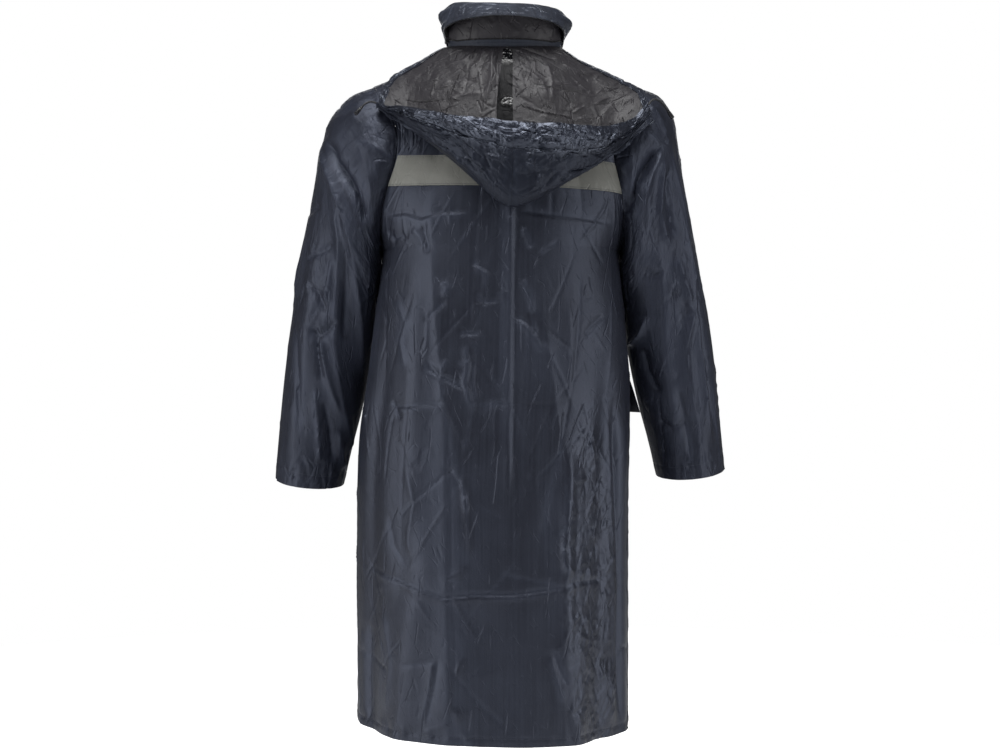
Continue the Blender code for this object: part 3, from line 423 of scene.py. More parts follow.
def collar_outer_surface(drop: Array, angle: Array) -> Array:
    """Point of the collar's outer layer, from its top fold (0) to its loose foot (1)."""
    drop, angle = np.broadcast_arrays(drop, angle)
    top, foot, away = collar_top(angle), neck_seam(angle), outward(angle)
    lifted, edge_out, middle_out, _ = collar_values(angle)
    foot = foot + np.array([0, 0, 1.0]) * (lifted + SEAM_GAP)
    middle = (top + foot) / 2 + away * middle_out
    top = top + away * (WALL + 2 * SEAM_GAP)
    foot = foot + away * edge_out
    down = drop[..., None]
    return (1 - down) ** 2 * top + 2 * down * (1 - down) * middle + down**2 * foot


def zip_level(angle: Array) -> Array:
    """Share of the collar's height at which the closed zip would lie."""
    at_end = smooth_step((np.abs(angle) / ZIP_END_ANGLE - 0.6) / 0.3)
    return (ZIP_TAPE_WIDTH + ZIP_END_RISE * at_end) / COLLAR_HEIGHT


def normals_of(surface: Callable, rows: Array, columns: Array, step: float = 0.004) -> Array:
    """Unit normals of a surface function on a grid, by central differences."""
    along = surface(rows + step, columns) - surface(rows - step, columns)
    across = surface(rows, columns + step) - surface(rows, columns - step)
    return unit(np.cross(across, along))


def grid_normals(points: Array) -> Array:
    """Unit normals of a grid of points, by differences between neighbours."""
    normal = np.cross(np.gradient(points, axis=1), np.gradient(points, axis=0))
    return normal / np.maximum(np.linalg.norm(normal, axis=-1, keepdims=True), 1e-12)


def height_of(z: Array, across: Array, facing: int) -> Array:
    """The height share at which a panel's point lies at a given z, by halving."""
    z, across = np.broadcast_arrays(z, across)
    low, high = np.zeros(across.shape), np.full(across.shape, 2.0)
    for _ in range(26):
        middle = (low + high) / 2
        above = body_surface(middle, across, facing)[..., 2] > z
        high = np.where(above, middle, high)
        low = np.where(above, low, middle)
    return (low + high) / 2


def held_off(points: Array, cloth: BVHTree, clearance: Array) -> Array:
    """Points moved out until each stands off the cloth below it by its clearance."""
    clearance = np.broadcast_to(clearance, points.shape[:-1])
    moved = points.copy()
    for place in np.ndindex(points.shape[:-1]):
        point = Vector(points[place])
        for _ in range(3):
            nearest, normal, _, _ = cloth.find_nearest(point)
            short = clearance[place] - (point - nearest).dot(normal)
            if short <= 0:
                break
            point = point + normal * short
        moved[place] = point
    return moved


def eased(points: Array, moved: Array) -> Array:
    """A grid moved as far as another one, with the moves spread out smoothly."""
    shift = moved - points
    rows, columns = shift.shape[:2]
    for step in range(14):
        wide = np.pad(shift, ((1, 1), (1, 1), (0, 0)), mode="edge")
        near = [wide[i : i + rows, j : j + columns] for i in range(3) for j in range(3)]
        near = np.stack(near)
        if step < 4:
            furthest = np.linalg.norm(near, axis=-1).argmax(axis=0)
            shift = np.take_along_axis(near, furthest[None, ..., None], axis=0)[0]
        else:
            shift = near.mean(axis=0)
    return points + shift


# ---------------------------------------------------------------- folds and creases


def fold_height(across: Array, z: Array, folds: tuple) -> Array:
    """Height of a panel's long soft folds, which its solid has too."""
    total = np.zeros(np.broadcast(across, z).shape)
    for top, foot, top_z, foot_z, half_width, depth in folds:
        down = (top_z - z) / (top_z - foot_z)
        line = top + (foot - top) * np.clip(down, 0, 1)
        fade = smooth_step(down / 0.25) * smooth_step((1.25 - down) / 0.25)
        total = total + depth * fade * hump(across - line, half_width)
    return total


def sleeve_fold_height(share: Array, turn: Array) -> Array:
    """Height of a sleeve's large folds, which its solid has too."""
    total = np.zeros(np.broadcast(share, turn).shape)
    for angle, middle, half_turn, half_length, slant, depth in SLEEVE_FOLDS:
        away = wrap(turn - angle)
        down = share - middle - slant * away * 0.1
        total = total + depth * np.exp(-((away / half_turn) ** 2) - (down / half_length) ** 2)
    return total


def line_height(u: Array, v: Array, creases: tuple) -> Array:
    """Height of listed creases.

    Args:
        u, v: place on the cloth, in metres.
        creases: rows of depth, half width and rounding, in tenths of a millimetre, and
            the u and v of points along the crease, in millimetres. A positive depth is
            a ridge. The depth fades towards both ends.

    Returns:
        The sum of the creases at each place.
    """
    total = np.zeros(np.broadcast(u, v).shape)
    for row in creases:
        depth, half_width, rounding = (value / 10000 for value in row[:3])
        points = np.array(row[3:], float).reshape(-1, 2) / 1000
        spans = np.diff(points, axis=0)
        steps, reach = np.linalg.norm(spans, axis=1), reach_along(points)
        nearest = np.full(total.shape, 1e9)
        place = np.zeros(total.shape)
        for start, (run, fall), step, before in zip(points, spans, steps, reach):
            du, dv = u - start[0], v - start[1]
            along = np.clip((du * run + dv * fall) / step**2, 0, 1)
            away = np.hypot(du - along * run, dv - along * fall)
            closer = away < nearest
            nearest = np.where(closer, away, nearest)
            place = np.where(closer, before + along * step, place)
        share = place / reach[-1]
        fade = smooth_step(share / 0.2 + 0.15) * smooth_step((1 - share) / 0.2 + 0.15)
        away = np.sqrt(nearest**2 + rounding**2) - rounding
        total = total + depth * fade * np.exp(-away / half_width)
    return total


def turned(u: Array, v: Array, turn: float, size: float, stretch: float) -> Grid:
    """A place on the cloth turned by an angle and counted in stretched cells."""
    across = (u * math.cos(turn) + v * math.sin(turn)) / size
    along = (v * math.cos(turn) - u * math.sin(turn)) / size / stretch
    return across, along


@dataclass(frozen=True)
class Crinkle:
    """Short straight creases, scattered as they are in pressed and crumpled nylon.

    They follow the borders between random cells. Each border has a depth of its own,
    and many have none, so that the creases start and end in smooth cloth.
    """

    cell: float
    depth: float
    stretch: float = 1.0
    turn: float = 0.0
    width: float = 0.12
    kept: float = 0.5
    seed: int = 1

    def height(self, u: Array, v: Array) -> Array:
        """Height of the creases at a place on the cloth, in metres."""
        rng = np.random.default_rng(self.seed)
        size = 64
        jitter = rng.random((size, size, 2)) * 0.9 + 0.05
        strength = rng.random(size * size) * 2 - 1
        strength = np.where(np.abs(strength) < 1 - self.kept, 0, strength)
        cell_u, cell_v = turned(u, v, self.turn, self.cell, self.stretch)
        cell_u, cell_v = cell_u + 31.7, cell_v + 17.3
        base_u, base_v = np.floor(cell_u).astype(int), np.floor(cell_v).astype(int)
        shape = np.broadcast(u, v).shape
        first, second, third = (np.full(shape, 1e9) for _ in range(3))
        first_id, second_id = (np.zeros(shape, int) for _ in range(2))
        for step in range(9):
            at_u, at_v = base_u + step // 3 - 1, base_v + step % 3 - 1
            spot = jitter[at_u % size, at_v % size]
            away = np.hypot(at_u + spot[..., 0] - cell_u, at_v + spot[..., 1] - cell_v)
            name = (at_u % size) * size + at_v % size
            is_first = away < first
            is_second = ~is_first & (away < second)
            third = np.where(is_first | is_second, second, np.minimum(third, away))
            second_id = np.where(is_first, first_id, np.where(is_second, name, second_id))
            second = np.where(is_first, first, np.where(is_second, away, second))
            first_id = np.where(is_first, name, first_id)
            first = np.where(is_first, away, first)
        pair = (first_id * second_id + 3 * (first_id + second_id)) % (size * size)
        fade = smooth_step((third - second) / 0.35)
        return self.depth * strength[pair] * np.exp(-((second - first) / self.width)) * fade


@dataclass(frozen=True)
class Swell:
    """Smooth uneven waves in cloth that hangs."""

    size: float
    depth: float
    stretch: float = 1.0
    turn: float = 0.0
    seed: int = 1

    def height(self, u: Array, v: Array) -> Array:
        """Height of the waves at a place on the cloth, in metres."""
        lattice = np.random.default_rng(self.seed).random((64, 64)) * 2 - 1
        at_u, at_v = turned(u, v, self.turn, self.size, self.stretch)
        at_u, at_v = at_u + 23.1, at_v + 41.9
        base_u, base_v = np.floor(at_u).astype(int), np.floor(at_v).astype(int)
        part_u, part_v = smooth_step(at_u - base_u), smooth_step(at_v - base_v)
        low, high = (
            lattice[(base_u + i) % 64, base_v % 64] * (1 - part_v)
            + lattice[(base_u + i) % 64, (base_v + 1) % 64] * part_v
            for i in (0, 1)
        )
        return self.depth * (low * (1 - part_u) + high * part_u)


def heights(patterns: tuple, u: Array, v: Array) -> Array:
    """Sum of several patterns' heights."""
    return sum(pattern.height(u, v) for pattern in patterns)


def patch(u: Array, v: Array, spots: tuple) -> Array:
    """Mask from 0 to 1 that is 1 inside soft-edged ellipses (u, v, half u, half v)."""
    total = np.zeros(np.broadcast(u, v).shape)
    for at_u, at_v, half_u, half_v in spots:
        away = np.hypot((u - at_u) / half_u, (v - at_v) / half_v)
        total = np.maximum(total, smooth_step((1.25 - away) / 0.5))
    return total


def sewn(away: Array, along: Array, seed: int, pitch: float = 0.011) -> Array:
    """Puckered groove of a row of stitches.

    Args:
        away: distance from the row, in metres.
        along: place along the row, in metres.
        seed: picks the puckers.
        pitch: usual distance between two puckers.

    Returns:
        Height, negative in the groove.
    """
    waves = Swell(pitch, 1.0, seed=seed).height(along, 0 * along)
    return -0.00045 * hump(away, 0.0022) + 0.0007 * waves * hump(away, 0.009)


def worn_from(height: Array, full: float = 0.0016) -> Array:
    """How much crease wear cloth has where its creases have a given height."""
    return np.clip(np.abs(height) / full, 0, 1) ** 1.5

# ---------------------------------------------------------------- finishes


class Tree:
    """A node tree with short calls that add and join its nodes."""

    def __init__(self, tree: NodeTree) -> None:
        """Hold the tree."""
        self.tree = tree

    def fill(self, node: bpy.types.Node, inputs: dict) -> None:
        """Join sockets to a node's inputs or set their values, by name or index."""
        for name, value in inputs.items():
            if isinstance(value, Socket):
                self.tree.links.new(value, node.inputs[name])
            else:
                node.inputs[name].default_value = value

    def add(self, kind: str, inputs: dict | None = None, **settings: object) -> bpy.types.Node:
        """Add a node.

        Args:
            kind: the node's type without its ShaderNode prefix.
            inputs: values or sockets for its inputs, by name or index.
            settings: the node's own settings.

        Returns:
            The node.
        """
        prefix = "" if kind.startswith("Node") else "ShaderNode"
        node = self.tree.nodes.new(prefix + kind)
        for name, value in settings.items():
            setattr(node, name, value)
        self.fill(node, inputs or {})
        return node

    def math(self, operation: str, first: object, second: object) -> Socket:
        """Result of a Math node."""
        return self.add("Math", {0: first, 1: second}, operation=operation).outputs[0]

    def vector(self, operation: str, first: object, second: object) -> Socket:
        """Result of a Vector Math node; a scale goes into its own input."""
        inputs = {0: first, 3 if operation == "SCALE" else 1: second}
        return self.add("VectorMath", inputs, operation=operation).outputs[0]

    def noise(self, place: Socket, scale: float, detail: float, output: str = "Fac") -> Socket:
        """Output of a Noise node."""
        inputs = {"Vector": place, "Scale": scale, "Detail": detail}
        return self.add("TexNoise", inputs).outputs[output]

    def warped(self, place: Socket, scale: float, amount: float) -> Socket:
        """A place moved about by noise."""
        drift = self.vector("SCALE", self.noise(place, scale, 2.0, "Color"), amount)
        return self.vector("ADD", place, drift)

    def spread(self, value: Socket, *ends: float) -> Socket:
        """A value taken from one range to another, each low end first, and held inside it."""
        return self.add("MapRange", {"Value": value, **dict(enumerate(ends, 1))}).outputs[0]

    def mix(self, share: Socket, first: tuple, second: tuple) -> Socket:
        """Colour between two others."""
        inputs = {"Factor": share, 6: (*first, 1), 7: (*second, 1)}
        return self.add("Mix", inputs, data_type="RGBA").outputs[2]


def new_group(name: str, inputs: dict[str, float], *outputs: str) -> tuple:
    """A shader group: its tree, the sockets of its inputs and its output node."""
    tree = bpy.data.node_groups.new(name, "ShaderNodeTree")
    tree.interface.new_socket("Vector", in_out="INPUT", socket_type="NodeSocketVector")
    for socket, value in inputs.items():
        made = tree.interface.new_socket(socket, in_out="INPUT", socket_type="NodeSocketFloat")
        made.default_value = value
    for socket in outputs:
        tree.interface.new_socket(socket, in_out="OUTPUT", socket_type="NodeSocketFloat")
    made = Tree(tree)
    return made, made.add("NodeGroupInput").outputs, made.add("NodeGroupOutput")


def new_material(name: str) -> tuple[Material, Tree, bpy.types.Node]:
    """A material, its tree and its Principled node."""
    material = bpy.data.materials.new(name)
    material.use_nodes = True
    return material, Tree(material.node_tree), material.node_tree.nodes["Principled BSDF"]


def weave_group() -> NodeTree:
    """Plain weave: threads over and under each other, with uneven tension."""
    made, source, target = new_group("plain_weave", {"Threads": 600.0, "Slub": 0.4}, "Height")
    place = made.warped(source["Vector"], 90.0, 0.0006)
    inputs = {"Vector": place, "Scale": source["Threads"]}
    waves = [made.add("TexWave", inputs, bands_direction=way).outputs["Fac"] for way in "XY"]
    slub = made.math("MULTIPLY", made.noise(place, 420.0, 1.0), source["Slub"])
    made.fill(target, {"Height": made.math("ADD", made.math("MAXIMUM", *waves), slub)})
    return made.tree


def crush_group() -> NodeTree:
    """Flat facets and hairline creases of thin cloth that was crushed, in millimetres."""
    inputs = {"Scale": 14.0, "Amount": 1.0, "Hairlines": 0.6}
    made, source, target = new_group("crushed_cloth", inputs, "Height", "Crease")
    place, scale = made.warped(source["Vector"], 9.0, 0.022), source["Scale"]

    def cells(where: Socket, finer: float, **settings: str) -> Socket:
        """Distances of a Voronoi pattern so much finer than the group's scale."""
        inputs = {"Vector": where, "Scale": made.math("MULTIPLY", scale, finer)}
        return made.add("TexVoronoi", inputs, **settings).outputs["Distance"]

    coarse, *fine = (
        made.math("MULTIPLY", cells(place, finer, feature="F1", distance=metric), 4.0 / finer)
        for finer, metric in ((1.0, "CHEBYCHEV"), (2.3, "MANHATTAN"), (5.1, "CHEBYCHEV"))
    )
    where = made.spread(made.noise(place, 11.0, 2.0), 0.4, 0.6, 0.15, 1.0)
    fine = made.math("MULTIPLY", made.math("ADD", *fine), where)
    height = made.math("MULTIPLY", made.math("ADD", coarse, fine), source["Amount"])
    lines = []
    slanting = (1.7, 0.35, 3.2, 0.03, 0.55), (3.6, -0.75, 2.6, 0.04, 0.54)
    for finer, turn, stretch, width, low in slanting:
        inputs = {"Vector": place, "Rotation": (0, 0, turn), "Scale": (1, stretch, 1)}
        slanted = made.add("Mapping", inputs, vector_type="TEXTURE").outputs[0]
        edge = cells(slanted, finer, feature="DISTANCE_TO_EDGE")
        kept = made.spread(made.noise(place, 26.0 * finer, 0.0), low, low + 0.08, 0.0, 1.0)
        line = made.math("MULTIPLY", made.spread(edge, 0.0, width, 1.0, 0.0), kept)
        lines.append(made.math("MULTIPLY", line, 1.6 / finer))
    crease = made.math("MULTIPLY", made.math("ADD", *lines), source["Hairlines"])
    made.fill(target, {"Height": made.math("SUBTRACT", height, crease), "Crease": crease})
    return made.tree


def thread_group() -> NodeTree:
    """Long faint streaks along the warp threads."""
    made, source, target = new_group("warp_streaks", {"Length": 0.02}, "Streak")
    long = made.add("CombineXYZ", {0: 1.0, 1: source["Length"], 2: 1.0}).outputs[0]
    place = made.vector("MULTIPLY", source["Vector"], long)
    inputs = {"Vector": place, "Scale": 240.0, "Detail": 4.0, "Roughness": 0.7}
    made.fill(target, {"Streak": made.add("TexNoise", inputs).outputs["Fac"]})
    return made.tree


Colour = tuple[float, float, float]


@dataclass(frozen=True)
class ClothFinish:
    """Look of one coated, woven or taped cloth."""

    name: str
    colour: Colour
    # lighter colour that random tone, crease wear and painted sheen move the cloth towards
    creased_and_sheen: Colour
    roughness: tuple[float, float]
    tint: Colour = (1.0, 1.0, 1.0)
    threads: float = 560.0
    weave: float = 0.00004
    crush_scale: float = 13.0
    crush: float = 1.0
    smooth: float = 0.2
    hairlines: float = 0.6
    stretched: Colour = (1.0, 1.0, 1.0)
    streaks: float = 0.25
    specular: float = 0.5
    variation: float = 0.18
    gloss: float = 0.0
    dull: float = 0.0

    def build(self, groups: dict[str, NodeTree]) -> Material:
        """Make the material; it reads the cloth's own UV map, in metres."""
        material, made, shader = new_material(self.name)

        def placed(name: str, **inputs: object) -> object:
            """Outputs of one of the groups."""
            return made.add("Group", inputs, node_tree=groups[name]).outputs

        uv = made.add("UVMap", uv_map="cloth").outputs["UV"]
        masks = [made.add("Attribute", attribute_name=name) for name in ("crushed", "worn")]
        crushed, worn = (mask.outputs["Fac"] for mask in masks)
        crush = placed(
            "crush",
            Vector=made.vector("MULTIPLY", uv, self.stretched),
            Scale=self.crush_scale,
            Amount=made.spread(crushed, 0.0, 1.0, self.smooth, 1.0),
            Hairlines=self.hairlines,
        )
        woven = placed("weave", Vector=uv, Threads=self.threads)["Height"]
        streak = placed("streaks", Vector=uv)["Streak"]
        inputs = {"Distance": self.crush * 0.001, "Height": crush["Height"]}
        bump = made.add("Bump", inputs).outputs["Normal"]
        inputs = {"Distance": self.weave, "Height": woven, "Normal": bump}
        normal = made.add("Bump", inputs).outputs["Normal"]
        shade = made.noise(uv, 14.0, 5.0)
        share = made.spread(shade, 0.3, 0.7, 0.0, self.variation)
        # the worn mask lightens the colour: crease wear, plus painted sheen where a piece lays it
        # on
        share = made.math("ADD", share, made.math("MULTIPLY", worn, 0.45))
        share = made.math("ADD", share, made.math("MULTIPLY", crush["Crease"], 0.12))
        faint = made.spread(streak, 0.35, 0.65, -self.streaks / 2, self.streaks)
        share = made.math("ADD", share, faint)
        rough = made.spread(made.math("ADD", shade, streak), 0.7, 1.3, *self.roughness)
        polish = made.math("MULTIPLY", crushed, self.gloss)
        shine = made.spread(crushed, 0.0, 1.0, self.specular * (1 - self.dull), self.specular)
        inputs = {
            "Base Color": made.mix(share, self.colour, self.creased_and_sheen),
            "Roughness": made.math("SUBTRACT", rough, polish),
            "Normal": normal,
            "Specular Tint": (*self.tint, 1),
            "Specular IOR Level": shine,
        }
        made.fill(shader, inputs)
        return material


@dataclass(frozen=True)
class HardFinish:
    """Look of a small moulded, metal or thread piece, from its Object coordinates."""

    name: str
    colour: Colour
    edge: Colour
    roughness: tuple[float, float]
    metallic: float = 0.0
    grain: float = 900.0
    bump: float = 0.00005

    def build(self) -> Material:
        """Make the material."""
        material, made, shader = new_material(self.name)
        grain = made.noise(made.add("TexCoord").outputs["Object"], self.grain, 3.0)
        share = made.spread(grain, 0.35, 0.75, 0.0, 1.0)
        bump = made.add("Bump", {"Distance": self.bump, "Height": grain})
        inputs = {
            "Base Color": made.mix(share, self.colour, self.edge),
            "Roughness": made.spread(grain, 0.3, 0.7, *self.roughness),
            "Normal": bump.outputs["Normal"],
            "Metallic": self.metallic,
        }
        made.fill(shader, inputs)
        return material


class Finish(Enum):
    """The coat's finishes."""

    NAVY_NYLON = ClothFinish(
        "navy_nylon", (0.0105, 0.0112, 0.017), (0.032, 0.037, 0.054), (0.36, 0.47),
        tint=(0.7, 0.78, 1.0), crush=1.5, smooth=0.15, hairlines=0.45, stretched=(1.0, 0.6, 1.0),
        streaks=0.18, specular=0.7, gloss=0.1, dull=0.15,
    )
    # A slightly darker copy of the navy nylon for the sleeves: its darker base colour is painted
    # shade, its weaker gloss a finish setting.
    SLEEVE_NYLON = ClothFinish(
        "shaded_sleeve_nylon", (0.0095, 0.0104, 0.0165), (0.032, 0.037, 0.056), (0.37, 0.47),
        tint=(0.7, 0.78, 1.0), crush=1.5, smooth=0.22, hairlines=0.55, stretched=(1.0, 0.6, 1.0),
        streaks=0.18, specular=0.56, gloss=0.06, dull=0.15,
    )
    # A shaded copy of the navy nylon, with darker colours and a duller specular: painted shade on
    # the outside of the hood's halves.
    CROWN_NYLON = ClothFinish(
        "shaded_crown_nylon", (0.0096, 0.0108, 0.017), (0.026, 0.031, 0.046), (0.38, 0.46),
        tint=(0.72, 0.8, 1.0), crush=1.6, smooth=0.25, hairlines=0.5, specular=0.84, gloss=0.2,
        dull=0.72,
    )
    # A lit copy of the navy nylon, with lighter colours and a stronger specular: painted light on
    # the hood's side hems and casing and on the outer collar.
    HOOD_NYLON = ClothFinish(
        "lit_hood_nylon", (0.01, 0.0112, 0.018), (0.036, 0.043, 0.064), (0.34, 0.44),
        tint=(0.76, 0.84, 1.0), crush=1.6, smooth=0.22, hairlines=0.7, specular=0.95, gloss=0.2,
        dull=0.15,
    )
    GREY_COATING = ClothFinish(
        "grey_coating", (0.019, 0.0175, 0.0212), (0.054, 0.05, 0.059), (0.42, 0.54),
        crush=1.2, crush_scale=16.0, smooth=0.25, hairlines=1.3, streaks=0.06, variation=0.12,
        specular=0.46,
    )
    REFLECTIVE = ClothFinish(
        "reflective_tape", (0.15, 0.152, 0.137), (0.225, 0.225, 0.205), (0.38, 0.5),
        threads=420.0, crush=1.0, smooth=0.25, hairlines=0.5, variation=0.35, streaks=0.1,
    )
    SEAM_TAPE = ClothFinish(
        "sealing_tape", (0.003, 0.003, 0.004), (0.012, 0.012, 0.014), (0.42, 0.5),
        weave=0.00001, crush_scale=50.0, crush=0.9, smooth=0.12, hairlines=0.3, streaks=0.0,
        specular=1.0, gloss=0.34, dull=0.88,
    )
    ZIP_TAPE = ClothFinish(
        "zip_tape", (0.02, 0.026, 0.044), (0.055, 0.064, 0.09), (0.5, 0.65),
        threads=420.0, weave=0.00012, smooth=0.2, hairlines=0.1,
    )
    THREAD = HardFinish("sewing_thread", (0.016, 0.021, 0.036), (0.06, 0.07, 0.1), (0.45, 0.65))
    CORD = HardFinish("black_cord", (0.008, 0.008, 0.01), (0.03, 0.03, 0.036), (0.5, 0.65))
    PLASTIC = HardFinish(
        "black_plastic", (0.006, 0.006, 0.008), (0.022, 0.022, 0.026), (0.16, 0.26), grain=300.0
    )
    METAL = HardFinish(
        "dark_metal", (0.07, 0.07, 0.08), (0.3, 0.3, 0.32), (0.22, 0.38), metallic=1.0, grain=500.0
    )


class Wardrobe:
    """Makes each finish once and hands it out."""

    def __init__(self) -> None:
        """Make the groups that the cloths share."""
        self.groups = {"weave": weave_group(), "crush": crush_group(), "streaks": thread_group()}
        self.made: dict[Finish, Material] = {}

    def get(self, finish: Finish) -> Material:
        """The material of a finish."""
        if finish not in self.made:
            extra = (self.groups,) if isinstance(finish.value, ClothFinish) else ()
            self.made[finish] = finish.value.build(*extra)
        return self.made[finish]

    def pair(self, outside: Finish, inside: Finish) -> tuple[Material, Material]:
        """The materials of a cloth's two faces."""
        return self.get(outside), self.get(inside)


# ---------------------------------------------------------------- meshes


def arc_lengths(points: Array, axis: int) -> Array:
    """Lengths along a grid's rows or columns, measured from its middle."""
    steps = np.linalg.norm(np.diff(points, axis=axis), axis=-1)
    zero = np.zeros_like(np.take(steps, [0], axis=axis))
    reach = np.concatenate([zero, np.cumsum(steps, axis=axis)], axis=axis)
    return reach - np.take(reach, [reach.shape[axis] // 2], axis=axis)


def cloth_map(points: Array, ring: bool = False) -> Array:
    """Each point's place on the flat cloth, in metres; a ring's first column comes twice."""
    closed = np.concatenate([points, points[:, :1]], axis=1) if ring else points
    across, down = arc_lengths(closed, 1), arc_lengths(closed, 0)
    across = np.broadcast_to(across.mean(axis=0), across.shape) * 0.5 + across * 0.5
    return np.stack([across, down], axis=-1)


def quads(rows: int, columns: int, step: int = 1) -> Array:
    """Corners (row, column) of each face of a grid, which has one more row than that."""
    starts = np.arange(0, rows, step), np.arange(0, columns, step)
    row, column = np.meshgrid(*starts, indexing="ij")
    corners = ((0, 0), (0, step), (step, step), (step, 0))
    at = [np.stack([row + down, column + out], axis=-1) for down, out in corners]
    return np.stack(at, axis=-2).reshape(-1, 4, 2)


def grid_index(corners: Array, columns: int) -> Array:
    """Number of a grid's point, from its row and column; a ring's columns start again."""
    return corners[..., 0] * columns + corners[..., 1] % columns


def facing(points: Array, normals: Array, loops: Array) -> Array:
    """How far each face looks towards the normals."""
    flat, flat_normals = points.reshape(-1, 3), normals.reshape(-1, 3)
    a, b, c = (flat[loops[:, i]] for i in (0, 1, 3))
    return np.sum(np.cross(b - a, c - a) * flat_normals[loops[:, 0]], axis=-1)


def apply_modifiers(obj: Object) -> None:
    """Apply all of a piece's modifiers."""
    bpy.ops.object.select_all(action="DESELECT")
    obj.select_set(True)
    bpy.context.view_layer.objects.active = obj
    for modifier in list(obj.modifiers):
        bpy.ops.object.modifier_apply(modifier=modifier.name)
    obj.select_set(False)


def new_piece(name: str, vertices: Array, faces: list, materials: tuple) -> Object:
    """A smooth piece made of a list of faces."""
    mesh = bpy.data.meshes.new(name)
    mesh.from_pydata(vertices, [], faces)
    for material in materials:
        mesh.materials.append(material)
    mesh.shade_smooth()
    obj = bpy.data.objects.new(name, mesh)
    bpy.context.scene.collection.objects.link(obj)
    return obj


def paint(obj: Object, places: Array, **masks: Array) -> None:
    """Give a piece its cloth map, one place for each face corner, and its points' masks."""
    layer = obj.data.uv_layers.new(name="cloth")
    layer.data.foreach_set("uv", places.astype(np.float32).ravel())
    for name, values in masks.items():
        attribute = obj.data.attributes.new(name, "FLOAT", "POINT")
        values = np.clip(values, 0, 1).astype(np.float32)
        attribute.data.foreach_set("value", values.ravel())


def declare(obj: Object, node: str = "", body: str = COAT) -> Object:
    """Attach a piece to the body it rides on and hide the solid it replaces."""
    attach(obj, body)
    if node:
        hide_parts(node)
    return obj


def sheet_mesh(
    name: str,
    points: Array,
    normals: Array,
    faces: tuple[Material, Material],
    worn: Array | float = 0.0,
    thickness: float = CLOTH,
    crushed: Array | float = 0.0,
) -> Object:
    """A closed thin shell over a grid of points.

    Args:
        name: the piece's name.
        points: rows by columns of places on the face towards the normals.
        normals: unit normals there, which only choose that side.
        faces: material on the normals' side and on the other one.
        worn: crease wear at each point, plus painted sheen where a piece lays it on, from 0 to 1.
        thickness: of the cloth.
        crushed: how crushed each point is, from 0 to 1.

    Returns:
        The piece, with its modifiers applied.
    """
    rows, columns = points.shape[:2]
    corners = quads(rows - 1, columns - 1)
    loops = grid_index(corners, columns)
    if facing(points, normals, loops).sum() < 0:
        loops, corners = loops[:, ::-1], corners[:, ::-1]
    obj = new_piece(name, points.reshape(-1, 3), loops.tolist(), faces)
    places = cloth_map(points)[corners[..., 0], corners[..., 1]]
    worn, crushed = (np.broadcast_to(values, (rows, columns)) for values in (worn, crushed))
    paint(obj, places, worn=worn, crushed=crushed)
    wall = obj.modifiers.new("cloth", "SOLIDIFY")
    wall.thickness = thickness
    wall.offset = -1.0
    wall.material_offset = 1
    wall.use_rim = True
    apply_modifiers(obj)
    obj.data.set_sharp_from_angle(angle=math.radians(60))
    return obj


def lined_mesh(
    name: str,
    points: Array,
    normals: Array,
    faces: tuple[Material, Material],
    small: Array,
    crushed: Array,
    worn: Array,
    ring: bool = False,
) -> Object:
    """A closed shell whose inner face has a third of the outer face's rows and columns.

    Args:
        name: the piece's name.
        points: rows by columns of places on the outer face; one more than a multiple of
            three each way, or a multiple of three round a ring.
        normals: outward unit normals there.
        faces: material outside and inside.
        small: height of the creases at each point, below which the inner face stays.
        crushed: how crushed each point is, from 0 to 1.
        worn: crease wear at each point, plus painted sheen where a piece lays it on, from 0 to 1.
        ring: joins the last column to the first.

    Returns:
        The piece.
    """
    rows, columns = points.shape[:2]
    lowest = small.copy()
    for axis in (0, 1):
        for step in (-3, -2, -1, 1, 2, 3):
            lowest = np.minimum(lowest, np.roll(lowest, step, axis=axis))
    edge = np.zeros((rows, columns), bool)
    edge[[0, -1]] = True
    if not ring:
        edge[:, [0, -1]] = True
    lowest = np.where(edge, small, np.maximum(lowest, small - 0.006))
    inner = (points + normals * (lowest - small - CLOTH)[..., None])[::3, ::3]
    wide = columns if ring else columns - 1
    # each face of the rim joins four points of the outer face to two of the inner one
    beside, below = np.arange(0, wide, 3)[:, None], np.arange(0, rows - 1, 3)[:, None]
    onward, back = np.array([0, 1, 2, 3, 3, 0]), np.array([3, 2, 1, 0, 0, 3])
    rims = [(0 * beside, beside + back), (0 * beside + rows - 1, beside + onward)]
    if not ring:
        rims += [(below + onward, 0 * below), (below + back, 0 * below + wide)]
    rim = np.concatenate([np.stack(np.broadcast_arrays(*at), axis=-1) for at in rims])
    corners = [quads(rows - 1, wide), quads(rows - 1, wide, 3)[:, ::-1], rim]

    def inner_index(at: Array) -> Array:
        """Number of the inner face's point at each corner."""
        return rows * columns + grid_index(at // 3, inner.shape[1])

    joined = [grid_index(rim[:, :4], columns), inner_index(rim[:, 4:])]
    loops = [grid_index(corners[0], columns), inner_index(corners[1]), np.hstack(joined)]
    if facing(points, normals, loops[0]).sum() < 0:
        loops, corners = ([part[:, ::-1] for part in parts] for parts in (loops, corners))
    vertices = np.concatenate([points.reshape(-1, 3), inner.reshape(-1, 3)])
    obj = new_piece(name, vertices, [face for part in loops for face in part.tolist()], faces)
    slots = np.repeat([0, 1, 0], [len(part) for part in loops]).astype(np.int32)
    obj.data.polygons.foreach_set("material_index", slots)
    at = np.concatenate([part.reshape(-1, 2) for part in corners])
    crushed, worn = (
        np.concatenate([np.ravel(values), np.ravel(values[::3, ::3])]) for values in (crushed, worn)
    )
    paint(obj, cloth_map(points, ring)[at[:, 0], at[:, 1]], worn=worn, crushed=crushed)
    obj.data.set_sharp_from_angle(angle=math.radians(60))
    return obj


